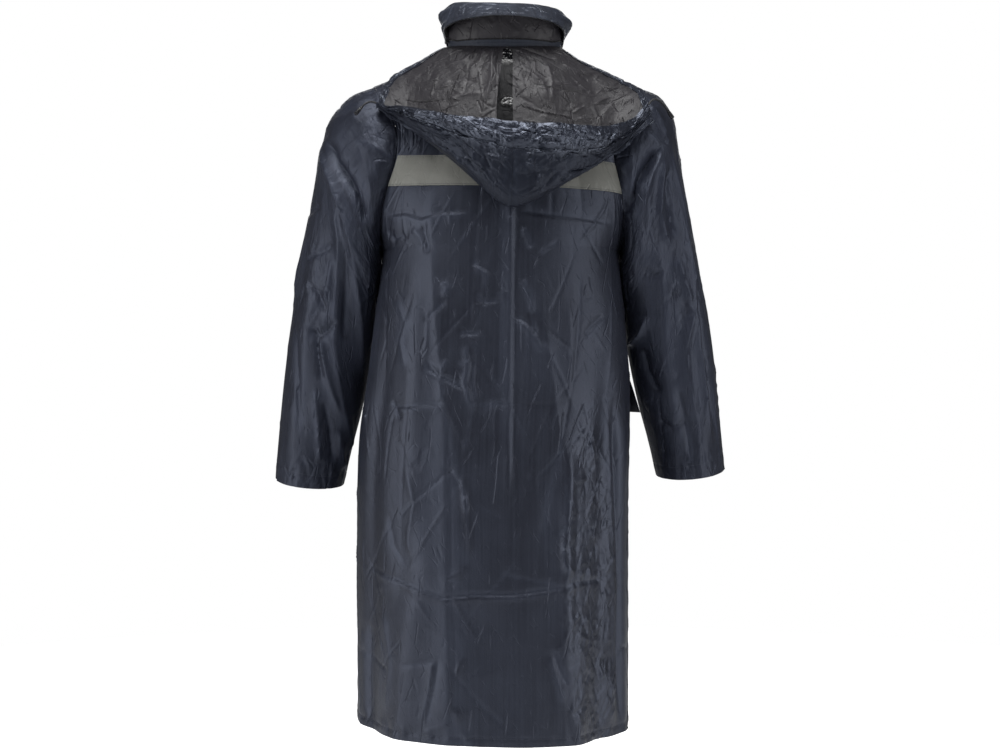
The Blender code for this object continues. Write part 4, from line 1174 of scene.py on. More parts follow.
def copies_mesh(
    name: str, pattern: Object, places: Array, frames: Array, material: Material
) -> Object:
    """Many copies of one small piece, as one mesh.

    Args:
        name: the new piece's name.
        pattern: the piece that is copied, and then removed.
        places: one point for each copy.
        frames: for each copy, its X, Y and Z directions as rows.
        material: the copies' material.

    Returns:
        The new piece.
    """
    vertices = np.array([vertex.co for vertex in pattern.data.vertices])
    faces = [list(polygon.vertices) for polygon in pattern.data.polygons]
    points = np.einsum("vi,nij->nvj", vertices, frames) + places[:, None]
    count = len(vertices)
    every = [[v + n * count for v in face] for n in range(len(places)) for face in faces]
    bpy.data.objects.remove(pattern)
    return new_piece(name, points.reshape(-1, 3), every, (material,))


def frames_along(route: Array, normals: Array) -> Array:
    """Frames on a route: X along it and Z on the cloth's normal."""
    along = unit(np.gradient(route, axis=0))
    up = unit(normals - along * np.sum(normals * along, axis=-1, keepdims=True))
    return np.stack([along, np.cross(up, along), up], axis=1)


def evenly(route: Array, normals: Array, pitch: float) -> tuple[Array, Array]:
    """A route's points at an even pitch, and the frames there."""
    reach = reach_along(route)
    at = np.arange(pitch / 2, reach[-1], pitch)
    places, ups = (
        np.stack([np.interp(at, reach, values[:, i]) for i in range(3)], axis=-1)
        for values in (route, normals)
    )
    return places, frames_along(places, ups)


def add_primitive(add: Callable, name: str, **sizes: object) -> Object:
    """Add one of the mesh primitives, which is then the active piece."""
    bpy.ops.object.select_all(action="DESELECT")
    add(**sizes)
    bpy.context.object.name = name
    return bpy.context.object


def pick_faces(obj: Object, wanted: Callable) -> None:
    """In edit mode, select only the faces that a test accepts."""
    mesh = bmesh.from_edit_mesh(obj.data)
    for face in mesh.faces:
        face.select = wanted(face)
    bmesh.update_edit_mesh(obj.data)


def round_edges(obj: Object, width: float, segments: int = 2) -> None:
    """Leave edit mode and round a piece's sharp edges."""
    bpy.ops.object.mode_set(mode="OBJECT")
    bevel = obj.modifiers.new("rounded", "BEVEL")
    bevel.width = width
    bevel.segments = segments
    bevel.limit_method = "ANGLE"
    apply_modifiers(obj)


def settle(obj: Object, placed: Matrix, material: Material, sharp: float) -> None:
    """Put a rigid piece in its place and give it its finish."""
    obj.data.transform(placed)
    obj.data.materials.append(material)
    obj.data.shade_smooth()
    obj.data.set_sharp_from_angle(angle=math.radians(sharp))


def upright(up: Vector) -> Matrix:
    """Turn that takes Z to a direction."""
    return Vector((0, 0, 1)).rotation_difference(up).to_matrix().to_4x4()


def node_points(node: str) -> tuple[Array, Array, Array]:
    """Middle of a solid, its points about it and its main directions, longest first."""
    vertices = np.array([vertex.co for vertex in frame["nodes"][node].data.vertices])
    middle = vertices.mean(axis=0)
    _, _, axes = np.linalg.svd(vertices - middle, full_matrices=False)
    return middle, vertices - middle, axes


@dataclass
class Sewing:
    """Rows of lockstitch, laid on the cloth."""

    wardrobe: Wardrobe
    stitch: float = 0.0026
    gap: float = 0.0009
    thread: float = 0.00032
    rows: int = 0

    def row(self, name: str, route: Array, normals: Array) -> None:
        """Sew along a route.

        Args:
            name: the row's name.
            route: points on the cloth, in order.
            normals: the cloth's normals there.
        """
        places, frames = evenly(route, normals, self.stitch + self.gap)
        add = bpy.ops.mesh.primitive_uv_sphere_add
        pattern = add_primitive(add, "stitch", segments=6, ring_count=4, radius=1.0)
        pattern.data.transform(Matrix.Rotation(math.pi / 2, 4, "Y"))
        pattern.data.transform(Matrix.Diagonal((self.stitch / 2, self.thread, self.thread, 1)))
        places = places + frames[:, 2] * self.thread * 0.5
        thread = self.wardrobe.get(Finish.THREAD)
        declare(copies_mesh(f"{name}_stitches", pattern, places, frames, thread))
        self.rows += 1

# ---------------------------------------------------------------- the coat's pieces

# The press crease down the wearer's left of the back, beside which a lit flank is painted:
# distances below the origin, and x
PRESSED_Z = (0.23, 0.285, 0.372, 0.436, 0.522, 0.59, 0.705, 0.817, 0.908, 0.986, 1.18)
PRESSED_X = (0.104, 0.102, 0.1, 0.097, 0.091, 0.086, 0.084, 0.084, 0.082, 0.079, 0.084)

# Creases: depth, half width and rounding in tenths of a millimetre, then the x and the
# distance below the origin of each point along the crease, in millimetres. The first
# ones are the long folds of the packing, with broad flat flanks; the rest are short.
BACK_CREASES = (
    (75, 340, 12, 112, 230, 110, 285, 108, 372, 105, 436, 97, 522, 88, 590, 86, 705, 86, 817, 84,
     908, 81, 986, 86, 1180),
    (-22, 60, 8, 88, 590, 79, 705, 79, 817, 77, 908, 72, 986, 76, 1160),
    (75, 140, 6, -18, 230, -17.5, 285, -16, 436, -14.3, 595, -12.7, 722, -12, 780),
    (-38, 100, 8, -26, 240, -24, 436, -23, 595, -20, 740),
    (70, 260, 10, -60, 400, -75, 507, -91, 630, -108, 705, -108, 760, -102, 808, -98, 878, -98,
     1046, -102, 1180),
    (-40, 100, 12, -120, 700, -122, 780, -119, 878, -117, 986, -119, 1140),
    (30, 120, 10, -111, 430, -112, 520, -112, 620),
    (-20, 34, 4, 227, 867, 180, 880, 136, 892, 89, 908, 47, 903, -18, 903, -91, 895, -121, 887,
     -165, 887, -208, 867),
    (20, 45, 5, 227, 873, 180, 886, 136, 898, 89, 914, 47, 909, -18, 909, -91, 901, -121, 893,
     -165, 893),
    (-22, 34, 4, 170, 604, 150, 606, 129, 603, 89, 601),
    (18, 45, 5, 170, 611, 150, 613, 129, 610, 89, 608),
    (-12, 34, 4, 60, 602, 10, 600, -50, 604, -110, 600),
    (-22, 34, 4, 190, 292, 153, 290, 126, 299, 96, 292, 50, 290),
    (20, 45, 5, 190, 299, 153, 297, 126, 306, 96, 299, 50, 297),
    (-18, 34, 4, -30, 290, -70, 296, -130, 300, -185, 306),
    (16, 45, 5, -30, 297, -70, 303, -130, 307, -185, 313),
    (-26, 36, 4, 46, 372, 37, 377, 20, 388, 7, 408, -3, 428),
    (22, 45, 5, 46, 380, 31, 386, 14, 397, 1, 417, -8, 436),
    (-22, 34, 4, 38, 420, 32, 434, 20, 438, -2, 433),
    (-26, 36, 4, -20, 457, -42, 470, -62, 492, -71, 512),
    (24, 45, 5, -20, 464, -40, 478, -58, 500, -66, 520),
    (-22, 34, 4, -47, 452, -54, 472, -59, 491),
    (-22, 34, 4, 66, 493, 56, 487, 44, 489, 30, 486),
    (28, 45, 5, 57, 505, 51, 530, 52, 548, 57, 570, 50, 590, 41, 615),
    (-24, 40, 5, 49, 512, 43, 540, 46, 565, 36, 606),
    (-28, 36, 4, 124, 540, 104, 551, 86, 561, 68, 571, 50, 579),
    (26, 40, 5, 82, 528, 91, 546, 96, 561, 92, 580, 96, 600),
    (-26, 36, 4, 118, 530, 104, 548, 92, 568, 86, 590),
    (-26, 34, 4, -134, 491, -150, 474, -168, 458),
    (18, 40, 5, -138, 496, -154, 479, -172, 463),
    (-26, 40, 5, 124, 312, 121, 325, 114, 345, 113, 360),
    (24, 50, 6, 142, 316, 128, 330, 118, 350),
    (-22, 40, 5, 186, 318, 172, 332, 160, 326, 148, 334),
    (24, 60, 10, 168, 430, 150, 470, 160, 500, 150, 545),
    (22, 50, 6, 92, 405, 83, 415, 90, 430),
    (-24, 40, 5, -36, 318, -44, 335, -50, 352),
    (20, 50, 6, -36, 400, -50, 440, -52, 460),
    (-26, 40, 6, 176, 596, 166, 612, 160, 628),
    (-90, 60, 8, -186, 590, -190, 700, -194, 800, -198, 900, -196, 1000, -198, 1150),
    (34, 60, 8, -176, 590, -180, 700, -184, 800, -188, 900, -186, 1000, -188, 1150),
    (-50, 50, 8, 219, 960, 221, 1040, 220, 1130),
    (22, 50, 6, 58, 735, 50, 800, 46, 840),
    (24, 40, 5, 60, 716, 56, 750, 52, 775),
    (-22, 40, 5, 90, 700, 74, 716, 62, 736),
    (20, 40, 5, 86, 880, 62, 870, 52, 856),
    (22, 50, 6, 56, 1000, 74, 1040, 76, 1080, 60, 1110),
    (-24, 40, 5, 96, 1000, 104, 1050, 118, 1110),
    (24, 40, 5, 106, 1010, 112, 1060, 124, 1110),
    (26, 40, 5, -98, 900, -104, 870, -96, 846, -100, 810),
    (24, 40, 5, -78, 1000, -86, 1040, -98, 1080),
    (-24, 40, 5, -84, 990, -92, 1020, -104, 1050),
    (22, 50, 6, 150, 700, 136, 760, 146, 820, 140, 850),
    (-22, 50, 6, 180, 780, 172, 830, 150, 860),
    (20, 60, 10, 190, 940, 176, 1020, 184, 1100),
)
# Busy patches: x, z, half width, half height
BACK_BUSY = (
    (-0.141, -0.86, 0.044, 0.25),
    (-0.15, -1.08, 0.04, 0.08),
    (0.18, -0.12, 0.08, 0.08),
    (-0.18, -0.12, 0.08, 0.08),
)
BACK_PATTERNS = (
    Swell(0.07, 0.0016, 4.0, 0.05, 11),
    Crinkle(0.09, 0.0018, 5.0, 0.04, 0.05, 0.6, 17),
    Crinkle(0.05, 0.0022, 3.2, 0.55, 0.04, 0.3, 12),
    Crinkle(0.044, 0.002, 3.0, -0.6, 0.04, 0.28, 19),
    Crinkle(0.034, 0.0005, 1.8, -0.2, 0.09, 0.3, 13),
)
BACK_BUSY_PATTERNS = (
    Crinkle(0.024, 0.0038, 2.8, 0.5, 0.08, 0.75, 14),
    Crinkle(0.019, 0.003, 2.6, -0.45, 0.09, 0.7, 18),
    Crinkle(0.011, 0.0016, 1.8, 0.9, 0.16, 0.8, 15),
)
FRONT_CREASES = (
    (30, 120, 20, 105, 300, 102, 560, 100, 840, 102, 1130),
    (30, 120, 20, -105, 280, -100, 560, -104, 840, -102, 1130),
    (-20, 40, 4, 190, 604, 100, 600, 20, 600),
    (-20, 40, 4, -190, 600, -100, 604, -24, 600),
    (-20, 40, 4, 200, 890, 100, 896, 20, 894),
    (-20, 40, 4, -200, 894, -100, 890, -24, 896),
    (-20, 40, 4, 180, 300, 100, 304, 20, 300),
    (-20, 40, 4, -180, 304, -100, 300, -24, 304),
    (24, 60, 8, 150, 200, 120, 260, 110, 330),
    (-24, 60, 8, -160, 190, -130, 260, -115, 330),
    (22, 60, 8, 60, 420, 40, 480, 30, 540),
    (22, 60, 8, -50, 700, -70, 760, -80, 840),
    (22, 60, 8, 70, 960, 60, 1020, 74, 1090),
)
FRONT_BUSY = (
    (0.15, -0.18, 0.06, 0.07),
    (-0.15, -0.18, 0.06, 0.07),
    (0.14, -0.9, 0.04, 0.2),
    (-0.06, -1, 0.04, 0.12),
)


@dataclass
class Panel:
    """A piece of the coat's body: its surface, folds, creases and puckers."""

    facing: int
    folds: tuple
    creases: tuple
    patterns: tuple
    busy: tuple
    busy_patterns: tuple

    def place(self, rows: Array, columns: Array) -> Grid:
        """Points, normals and crease heights at any places of the panel."""
        rows, columns = np.broadcast_arrays(rows, columns)
        surface = partial(body_surface, facing=self.facing)
        points = surface(rows, columns)
        normals = -self.facing * normals_of(surface, rows, columns)
        share = np.abs(columns)
        level = smooth_step((2 - rows) / 0.5) * smooth_step((1 - share) / 0.08)
        u, v = points[..., 0], points[..., 2]
        folds = fold_height(columns if self.facing > 0 else share, v, self.folds) * level
        around = columns * HALF_CLOTH
        edge = smooth_step((1 - share) / 0.05) * smooth_step((2 - rows) / 0.12)
        sharp = [crease for crease in self.creases if crease[1] < SHARP_CREASE]
        broad = [crease for crease in self.creases if crease[1] >= SHARP_CREASE]
        self.mask = patch(u, v, self.busy)
        small = 1.2 * line_height(u, -v, sharp) + heights(self.patterns, around, v)
        small = small + self.mask * heights(self.busy_patterns, around, v)
        self.worn = worn_from(small)
        # Painted sheen: a lighter stripe beside the centre back and a lit flank left of the press
        # crease go into the wear mask, lightening the colour where the side light falls.
        if self.facing > 0:
            sheen_stripe = smooth_step((0.002 - u) / 0.004) * smooth_step((u + 0.0185) / 0.0022)
            self.worn = self.worn + 0.85 * sheen_stripe * smooth_step((v + 0.8) / 0.25)
            pressed = u - np.interp(-v, PRESSED_Z, PRESSED_X)
            lit_flank = smooth_step((pressed + 0.001) / 0.003) * np.exp(-np.maximum(pressed, 0) / 0.03)
            self.worn = self.worn + 0.4 * lit_flank
        small = (small + line_height(u, -v, broad)) * edge
        if self.facing > 0:
            middle = TAPE_TOP_Z - TAPE_WIDTH / 2 + TAPE_TILT * u
            under = smooth_step((0.036 - np.abs(v - middle)) / 0.012)
            small = small * (1 - 0.7 * under)
        above_hem = rows * (UNDERARM_Z - HEM_Z)
        turned_up = above_hem < HEM_DEPTH + 0.0005
        small = small + 2.1 * sewn(above_hem - HEM_DEPTH, around, 5) + 0.0003 * turned_up
        side = np.minimum((1 - share) * HALF_CLOTH, 1)
        small = small + 0.8 * sewn(side - EDGE_STITCH, v, 6) * (rows < 1)
        points = points + normals * (folds + small)[..., None]
        seams = ((rows >= 2) & (share >= NECK_SHARE)) | ((rows <= 1) & (share >= 1))
        points[..., 1] += self.facing * SEAM_GAP * seams
        return points, normals, small

    def finished_normals(self, points: Array) -> Array:
        """Normals of the cloth with its creases, outwards."""
        return -self.facing * grid_normals(points)


def body_rows(skirt: int, yoke: int) -> Array:
    """Heights of a body panel's rows, below and above the underarm."""
    return np.concatenate([np.linspace(0, 1, skirt), np.linspace(1, 2, yoke)[1:]])[:, None]


@dataclass
class Back:
    """The back panel, with its reflective tape and their sewing."""

    wardrobe: Wardrobe
    columns: int = 238
    skirt_rows: int = 246
    yoke_rows: int = 107
    tape_rows: int = 24
    tape_edge: float = 0.965

    def __post_init__(self) -> None:
        """Lay the panel out."""
        patterns = BACK_PATTERNS, BACK_BUSY, BACK_BUSY_PATTERNS
        self.panel = Panel(1, BACK_FOLDS, BACK_CREASES, *patterns)

    def build(self) -> Object:
        """The panel."""
        across = np.linspace(-1, 1, self.columns)[None, :]
        points, _, small = self.panel.place(body_rows(self.skirt_rows, self.yoke_rows), across)
        self.points, self.normals = points, self.panel.finished_normals(points)
        faces = self.wardrobe.pair(Finish.NAVY_NYLON, Finish.GREY_COATING)
        looks = faces, small, self.panel.mask, self.panel.worn
        obj = lined_mesh("back_cloth", points, self.normals, *looks)
        return declare(obj, "back")

    def tape_grid(self, shares: Array, across: Array) -> Grid:
        """Points and normals of the cloth under the tape; a share of 0 is its lower edge."""
        z = TAPE_TOP_Z - TAPE_WIDTH * (1 - shares[:, None]) + TAPE_TILT * 0.19 * across
        rows = height_of(z, across[None, :], 1)
        points, _, small = self.panel.place(rows, np.broadcast_to(across, rows.shape))
        return points, self.panel.finished_normals(points), small

    def tape(self) -> Object:
        """The reflective tape."""
        shares = np.linspace(0, 1, self.tape_rows)
        across = np.linspace(-self.tape_edge, self.tape_edge, self.columns)
        points, normals, small = self.tape_grid(shares, across)
        from_edge = np.minimum(shares, 1 - shares)[:, None] * TAPE_WIDTH
        along = np.broadcast_to(across * HALF_CLOTH, points.shape[:2])
        lift = 0.0013 + sewn(from_edge - 0.0025, along, 21) * 0.6
        points = points + normals * lift[..., None]
        faces = self.wardrobe.pair(Finish.REFLECTIVE, Finish.REFLECTIVE)
        worn = worn_from(small) * 0.5
        obj = sheet_mesh("reflective_band", points, normals, faces, worn, thickness=0.0005)
        return declare(obj, "reflective_tape")

    def sew(self, sewing: Sewing) -> None:
        """Stitches of the hem and of the tape's two edges."""
        nearby = HEM_DEPTH / (UNDERARM_Z - HEM_Z) + np.array([[-0.002], [0], [0.002]])
        points, _, _ = self.panel.place(nearby, np.linspace(-0.97, 0.97, 160)[None, :])
        sewing.row("back_hem", points[1], self.panel.finished_normals(points)[1])
        across = np.linspace(-self.tape_edge, self.tape_edge, 140)
        for name, share in (("lower", 0.05), ("upper", 0.95)):
            shares = np.array([share - 0.02, share, share + 0.02])
            points, normals, _ = self.tape_grid(shares, across)
            sewing.row(f"tape_{name}", points[1] + normals[1] * 0.0012, normals[1])


@dataclass
class Front:
    """One front, with its pocket flap. The wearer's left one (side 1) lies on top."""

    wardrobe: Wardrobe
    side: int
    columns: int = 118
    skirt_rows: int = 190
    yoke_rows: int = 82
    flap_rear_stand: float = 0.004

    def __post_init__(self) -> None:
        """Choose the puckers and measure the closure's lap, as a share of the panel."""
        self.name = "left" if self.side > 0 else "right"
        patterns = (
            Swell(0.055, 0.0012, 3.5, 0.05, 31 + self.side),
            Crinkle(0.075, 0.0016, 2.2, 0.1, 0.1, 0.4, 33 + self.side),
            Crinkle(0.034, 0.0006, 1.8, -0.2, 0.14, 0.4, 35 + self.side),
        )
        busy = (
            Crinkle(0.026, 0.002, 2.6, 0.12, 0.16, 0.85, 37 + self.side),
            Crinkle(0.014, 0.0009, 1.9, -0.3, 0.22, 0.8, 39 + self.side),
        )
        self.panel = Panel(-1, FRONT_FOLDS, FRONT_CREASES, patterns, FRONT_BUSY, busy)
        reach = (CLOSURE_LAP / BODY_SECTIONS[0][1]) ** (1 / ROUNDNESS)
        self.lap = math.asin(reach) * 2 / math.pi

    def place(self, rows: Array, half: Array) -> Grid:
        """Points, normals and crease heights of the front, the upper one lifted."""
        rows, half = np.broadcast_arrays(rows, half)
        points, normals, small = self.panel.place(rows, self.side * half)
        from_edge = (half + self.lap) * HALF_CLOTH
        puckers = sewn(from_edge - EDGE_STITCH, points[..., 2], 45) * 0.7
        lift = puckers
        if self.side > 0:
            lift = lift + LAP_LIFT * smooth_step((4 * self.lap - half) / (2.5 * self.lap))
        return points + normals * lift[..., None], normals, small + puckers

    def build(self) -> Object:
        """The panel."""
        half = np.linspace(-self.lap, 1, self.columns)[None, :]
        points, _, small = self.place(body_rows(self.skirt_rows, self.yoke_rows), half)
        self.points, self.normals = points, self.side * self.panel.finished_normals(points)
        faces = self.wardrobe.pair(Finish.NAVY_NYLON, Finish.GREY_COATING)
        looks = faces, small, self.panel.mask, self.panel.worn
        obj = lined_mesh(f"front_{self.name}_cloth", points, self.normals, *looks)
        return declare(obj, f"front_{self.name}")

    def flap(self) -> Object:
        """The pocket flap, whose rear corner stands off the cloth."""
        down = 1 - np.linspace(0, 1, 20)[:, None]
        half = np.linspace(FLAP_FROM, FLAP_TO, 60)
        rows = (FLAP_TOP_Z - FLAP_DEPTH * down - HEM_Z) / (UNDERARM_Z - HEM_Z) + 0 * half
        points, normals, small = self.place(rows, np.broadcast_to(half, rows.shape))
        out = ((half - FLAP_FROM) / (FLAP_TO - FLAP_FROM)) ** 2
        lift = 0.0012 + self.flap_rear_stand * out * down
        lift = lift + 0.7 * sewn(down * FLAP_DEPTH - 0.052, half * 0.3, 51)
        points = points + normals * lift[..., None]
        faces = self.wardrobe.pair(Finish.NAVY_NYLON, Finish.NAVY_NYLON)
        name, worn = f"flap_{self.name}_cloth", worn_from(small)
        obj = sheet_mesh(name, points, normals, faces, worn, thickness=0.0009)
        return declare(obj, f"pocket_flap_{self.name}")

    def sew(self, sewing: Sewing) -> None:
        """Stitches of the hem and of the front edge."""
        half = np.linspace(-self.lap + 0.01, 0.97, 120)[None, :]
        height = HEM_DEPTH / (UNDERARM_Z - HEM_Z)
        points, normals, _ = self.place(np.full((1, 120), height), half)
        sewing.row(f"front_{self.name}_hem", points[0], normals[0])
        down = np.linspace(0.02, 1.96, 260)[:, None]
        edge = -self.lap + EDGE_STITCH / HALF_CLOTH
        points, normals, _ = self.place(down, np.full((260, 1), edge))
        sewing.row(f"front_{self.name}_edge", points[:, 0], normals[:, 0])


# Creases of the sleeves' rear halves, read like those of the back
LEFT_SLEEVE_CREASES = (
    (-90, 80, 12, 282, 160, 268, 200, 250, 228, 231, 264, 215, 310),
    (60, 90, 12, 296, 165, 278, 218, 262, 262, 246, 314, 229, 381),
    (50, 100, 8, 270, 236, 264, 331, 270, 414, 277, 497, 270, 597, 262, 700),
    (-40, 80, 10, 252, 330, 256, 420, 262, 500),
    (45, 50, 6, 303, 482, 297, 514, 291, 550, 277, 618),
    (-45, 50, 6, 316, 470, 302, 488, 288, 478, 272, 460),
    (-35, 40, 5, 306, 486, 305, 520, 300, 560),
    (36, 50, 6, 312, 575, 312, 630, 315, 695),
    (-34, 60, 10, 298, 590, 294, 640, 290, 700),
    (30, 50, 6, 281, 640, 279, 680, 276, 715),
    (-30, 40, 5, 322, 284, 312, 276, 294, 271),
    (-32, 40, 5, 323, 360, 308, 352, 290, 346, 276, 336),
    (-30, 40, 5, 320, 397, 306, 412, 294, 434, 290, 450),
    (30, 50, 6, 278, 360, 284, 400, 292, 436),
    (45, 80, 10, 250, 286, 240, 380, 234, 470, 236, 560),
    (36, 60, 6, 330, 250, 337, 330, 346, 430),
    (-32, 60, 10, 345, 470, 340, 560, 348, 650),
)
RIGHT_SLEEVE_CREASES = (
    (-100, 80, 12, -274, 175, -252, 208, -226, 242, -205, 286),
    (60, 80, 10, -280, 182, -258, 220, -242, 258, -236, 300, -238, 360),
    (45, 50, 6, -280, 196, -273, 250, -269, 284, -276, 320, -290, 350),
    (-45, 50, 6, -290, 210, -284, 250, -290, 300, -296, 330),
    (50, 60, 6, -292, 160, -311, 268, -323, 379, -327, 452, -337, 545, -349, 680),
    (-70, 70, 10, -304, 160, -322, 268, -334, 379, -338, 452, -348, 545, -360, 680),
    (35, 50, 6, -298, 361, -306, 400, -318, 440),
    (45, 60, 6, -322, 452, -310, 509, -313, 563, -322, 640),
    (55, 50, 6, -246, 460, -236, 490, -226, 506, -216, 510),
    (-45, 50, 8, -240, 516, -246, 550, -258, 580, -270, 590),
    (-30, 40, 5, -240, 380, -256, 390, -272, 384),
    (40, 140, 20, -266, 330, -272, 440, -280, 560, -292, 700),
    (-32, 60, 10, -296, 580, -304, 640, -312, 710),
    (-30, 50, 6, -262, 640, -282, 650, -306, 640),
)
# Creases of a sleeve's front half: the same, with points (angle round it times its
# radius, distance down it); angle 0 is its outer side and falls towards the front
SLEEVE_FRONT_CREASES = (
    (-50, 80, 10, -200, 30, -170, 80, -150, 150),
    (40, 80, 8, -60, 60, -50, 240, -64, 400, -58, 640),
    (-40, 60, 6, -120, 290, -90, 320, -50, 310),
    (-36, 50, 6, -170, 330, -140, 350, -100, 344),
    (36, 60, 6, -140, 420, -120, 500, -126, 640),
    (34, 60, 6, -190, 120, -170, 220, -176, 300),
    (-30, 50, 6, -100, 520, -80, 560, -70, 620),
)
SLEEVE_BUSY = (
    (0.11, 0.03, 0.14, 0.07),
    (-0.06, 0.03, 0.12, 0.06),
    (0.2, 0.2, 0.07, 0.1),
    (0.08, 0.4, 0.07, 0.07),
    (-0.12, 0.32, 0.08, 0.06),
    (0.16, 0.64, 0.08, 0.03),
)


@dataclass
class Sleeve:
    """A set-in sleeve, open from the armhole to the cuff."""

    wardrobe: Wardrobe
    side: int
    columns: int = 162
    rows: int = 250
    radius: float = 0.098
    length: float = 0.66
    hem: float = 0.02
    seam: float = 0.006

    def __post_init__(self) -> None:
        """Choose the puckers and creases of this side."""
        self.name = "left" if self.side > 0 else "right"
        seed = 60 if self.side > 0 else 80
        self.patterns = (
            Swell(0.05, 0.0009, 3.0, 0.1, seed),
            Crinkle(0.052, 0.003, 5.0, 0.1 * self.side, 0.06, 0.5, seed + 5),
            Crinkle(0.06, 0.0026, 2.4, 0.15 * self.side, 0.08, 0.5, seed + 1),
            Crinkle(0.028, 0.0008, 1.6, -0.3, 0.15, 0.45, seed + 2),
        )
        self.busy = (
            Crinkle(0.024, 0.0022, 1.8, 0.2, 0.18, 0.85, seed + 3),
            Crinkle(0.013, 0.0009, 1.4, 1.2, 0.22, 0.8, seed + 4),
        )
        self.creases = LEFT_SLEEVE_CREASES if self.side > 0 else RIGHT_SLEEVE_CREASES

    def place(self, share: Array, turn: Array) -> Grid:
        """Points, outward normals and crease heights of the sleeve."""
        share, turn = np.broadcast_arrays(share, turn)
        points = sleeve_surface(share, turn)
        normals = -normals_of(sleeve_surface, share, turn)
        wrapped = wrap(turn)
        from_outer = np.abs(wrapped)
        lift = sleeve_fold_height(share, turn) * smooth_step(share / 0.12)
        lift = lift + 0.006 * smooth_step((from_outer - 2.0) / 0.7) * hump(share - 0.21, 0.14)
        u, v = wrapped * self.radius, share * self.length
        behind = smooth_step(np.sin(turn) / 0.4 + 0.5)
        seen_x = self.side * points[..., 0] + section_shift(points[..., 2])
        small = 1.6 * line_height(seen_x, -points[..., 2], self.creases) * behind
        small = small + line_height(u, v, SLEEVE_FRONT_CREASES) * (1 - behind)
        self.mask = patch(u, v, SLEEVE_BUSY)
        small = small + heights(self.patterns, u, v) + self.mask * heights(self.busy, u, v)
        small = small * smooth_step(1.0 - (from_outer - 2.85) / 0.25) * smooth_step(v / 0.012)
        gathers = Swell(0.013, 0.0022, seed=91).height(u, 0 * u) * np.exp(-v / 0.03)
        small = small + gathers * smooth_step((1.9 - from_outer) / 0.5) * smooth_step(v / self.seam)
        small = small + sewn(v - self.seam, u, 92)
        to_cuff = (1 - share) * self.length
        small = small + sewn(to_cuff - self.hem, u, 93) + 0.0003 * (to_cuff < self.hem)
        points = points + normals * (lift + small)[..., None]
        points[..., 0] += SEAM_GAP * (share <= 0)
        at_body = 1 - smooth_step(share / 0.35)
        points[..., 0] = self.side * points[..., 0] + section_shift(points[..., 2]) * at_body
        points[..., 2] -= CUFF_DROP * np.maximum(np.sin(turn), 0) * share**3
        if self.side < 0:
            points[..., 2] += RIGHT_CUFF_RISE * smooth_step((share - 0.3) / 0.7)
        return points, normals * np.array([self.side, 1, 1]), small

    def build(self) -> Object:
        """The sleeve's cloth."""
        share = np.linspace(0, 1, self.rows)[:, None]
        turn = np.linspace(-math.pi, math.pi, self.columns, endpoint=False)[None, :]
        self.points, self.normals, small = self.place(share, turn)
        faces = self.wardrobe.pair(Finish.SLEEVE_NYLON, Finish.GREY_COATING)
        looks = faces, small, self.mask * 0.3, worn_from(small) * 0.7
        name = f"sleeve_{self.name}"
        obj = lined_mesh(f"{name}_cloth", self.points, self.normals, *looks, ring=True)
        return declare(obj, name)

    def sew(self, sewing: Sewing) -> None:
        """Stitches of the cuff and beside the armhole seam."""
        cuff, armhole = ("cuff", self.length - self.hem, math.pi), ("armhole", self.seam, 2.9)
        for name, distance, half in (cuff, armhole):
            turn = np.linspace(-half, half, 200)[None, :]
            points, normals, _ = self.place(np.full((1, 200), distance / self.length), turn)
            sewing.row(f"sleeve_{self.name}_{name}", points[0], normals[0])

# Creases of the hood's inside, read like the others, with points (distance to the
# wearer's left of its seam, distance from the neck seam)
HOOD_CREASES = (
    (40, 60, 6, 30, 10, 34, 50, 30, 100, 40, 150),
    (-34, 60, 6, 18, 0, 22, 60, 16, 130, 20, 180),
    (30, 60, 6, 52, 20, 60, 60, 90, 90),
    (34, 60, 6, 72, 30, 94, 60, 134, 80),
    (-30, 60, 6, 60, 110, 90, 104, 120, 120),
    (30, 60, 6, 46, 130, 70, 136, 110, 160),
    (36, 60, 6, -20, 70, -50, 84, -74, 110, -80, 150),
    (36, 60, 6, -86, 60, -94, 110, -84, 160),
    (-30, 60, 6, -40, 10, -70, 30, -110, 50),
    (30, 60, 6, -96, 110, -130, 124, -150, 150),
    (-30, 60, 6, -20, 130, -50, 150, -70, 180),
    (30, 60, 6, -120, 60, -150, 90, -190, 100),
)


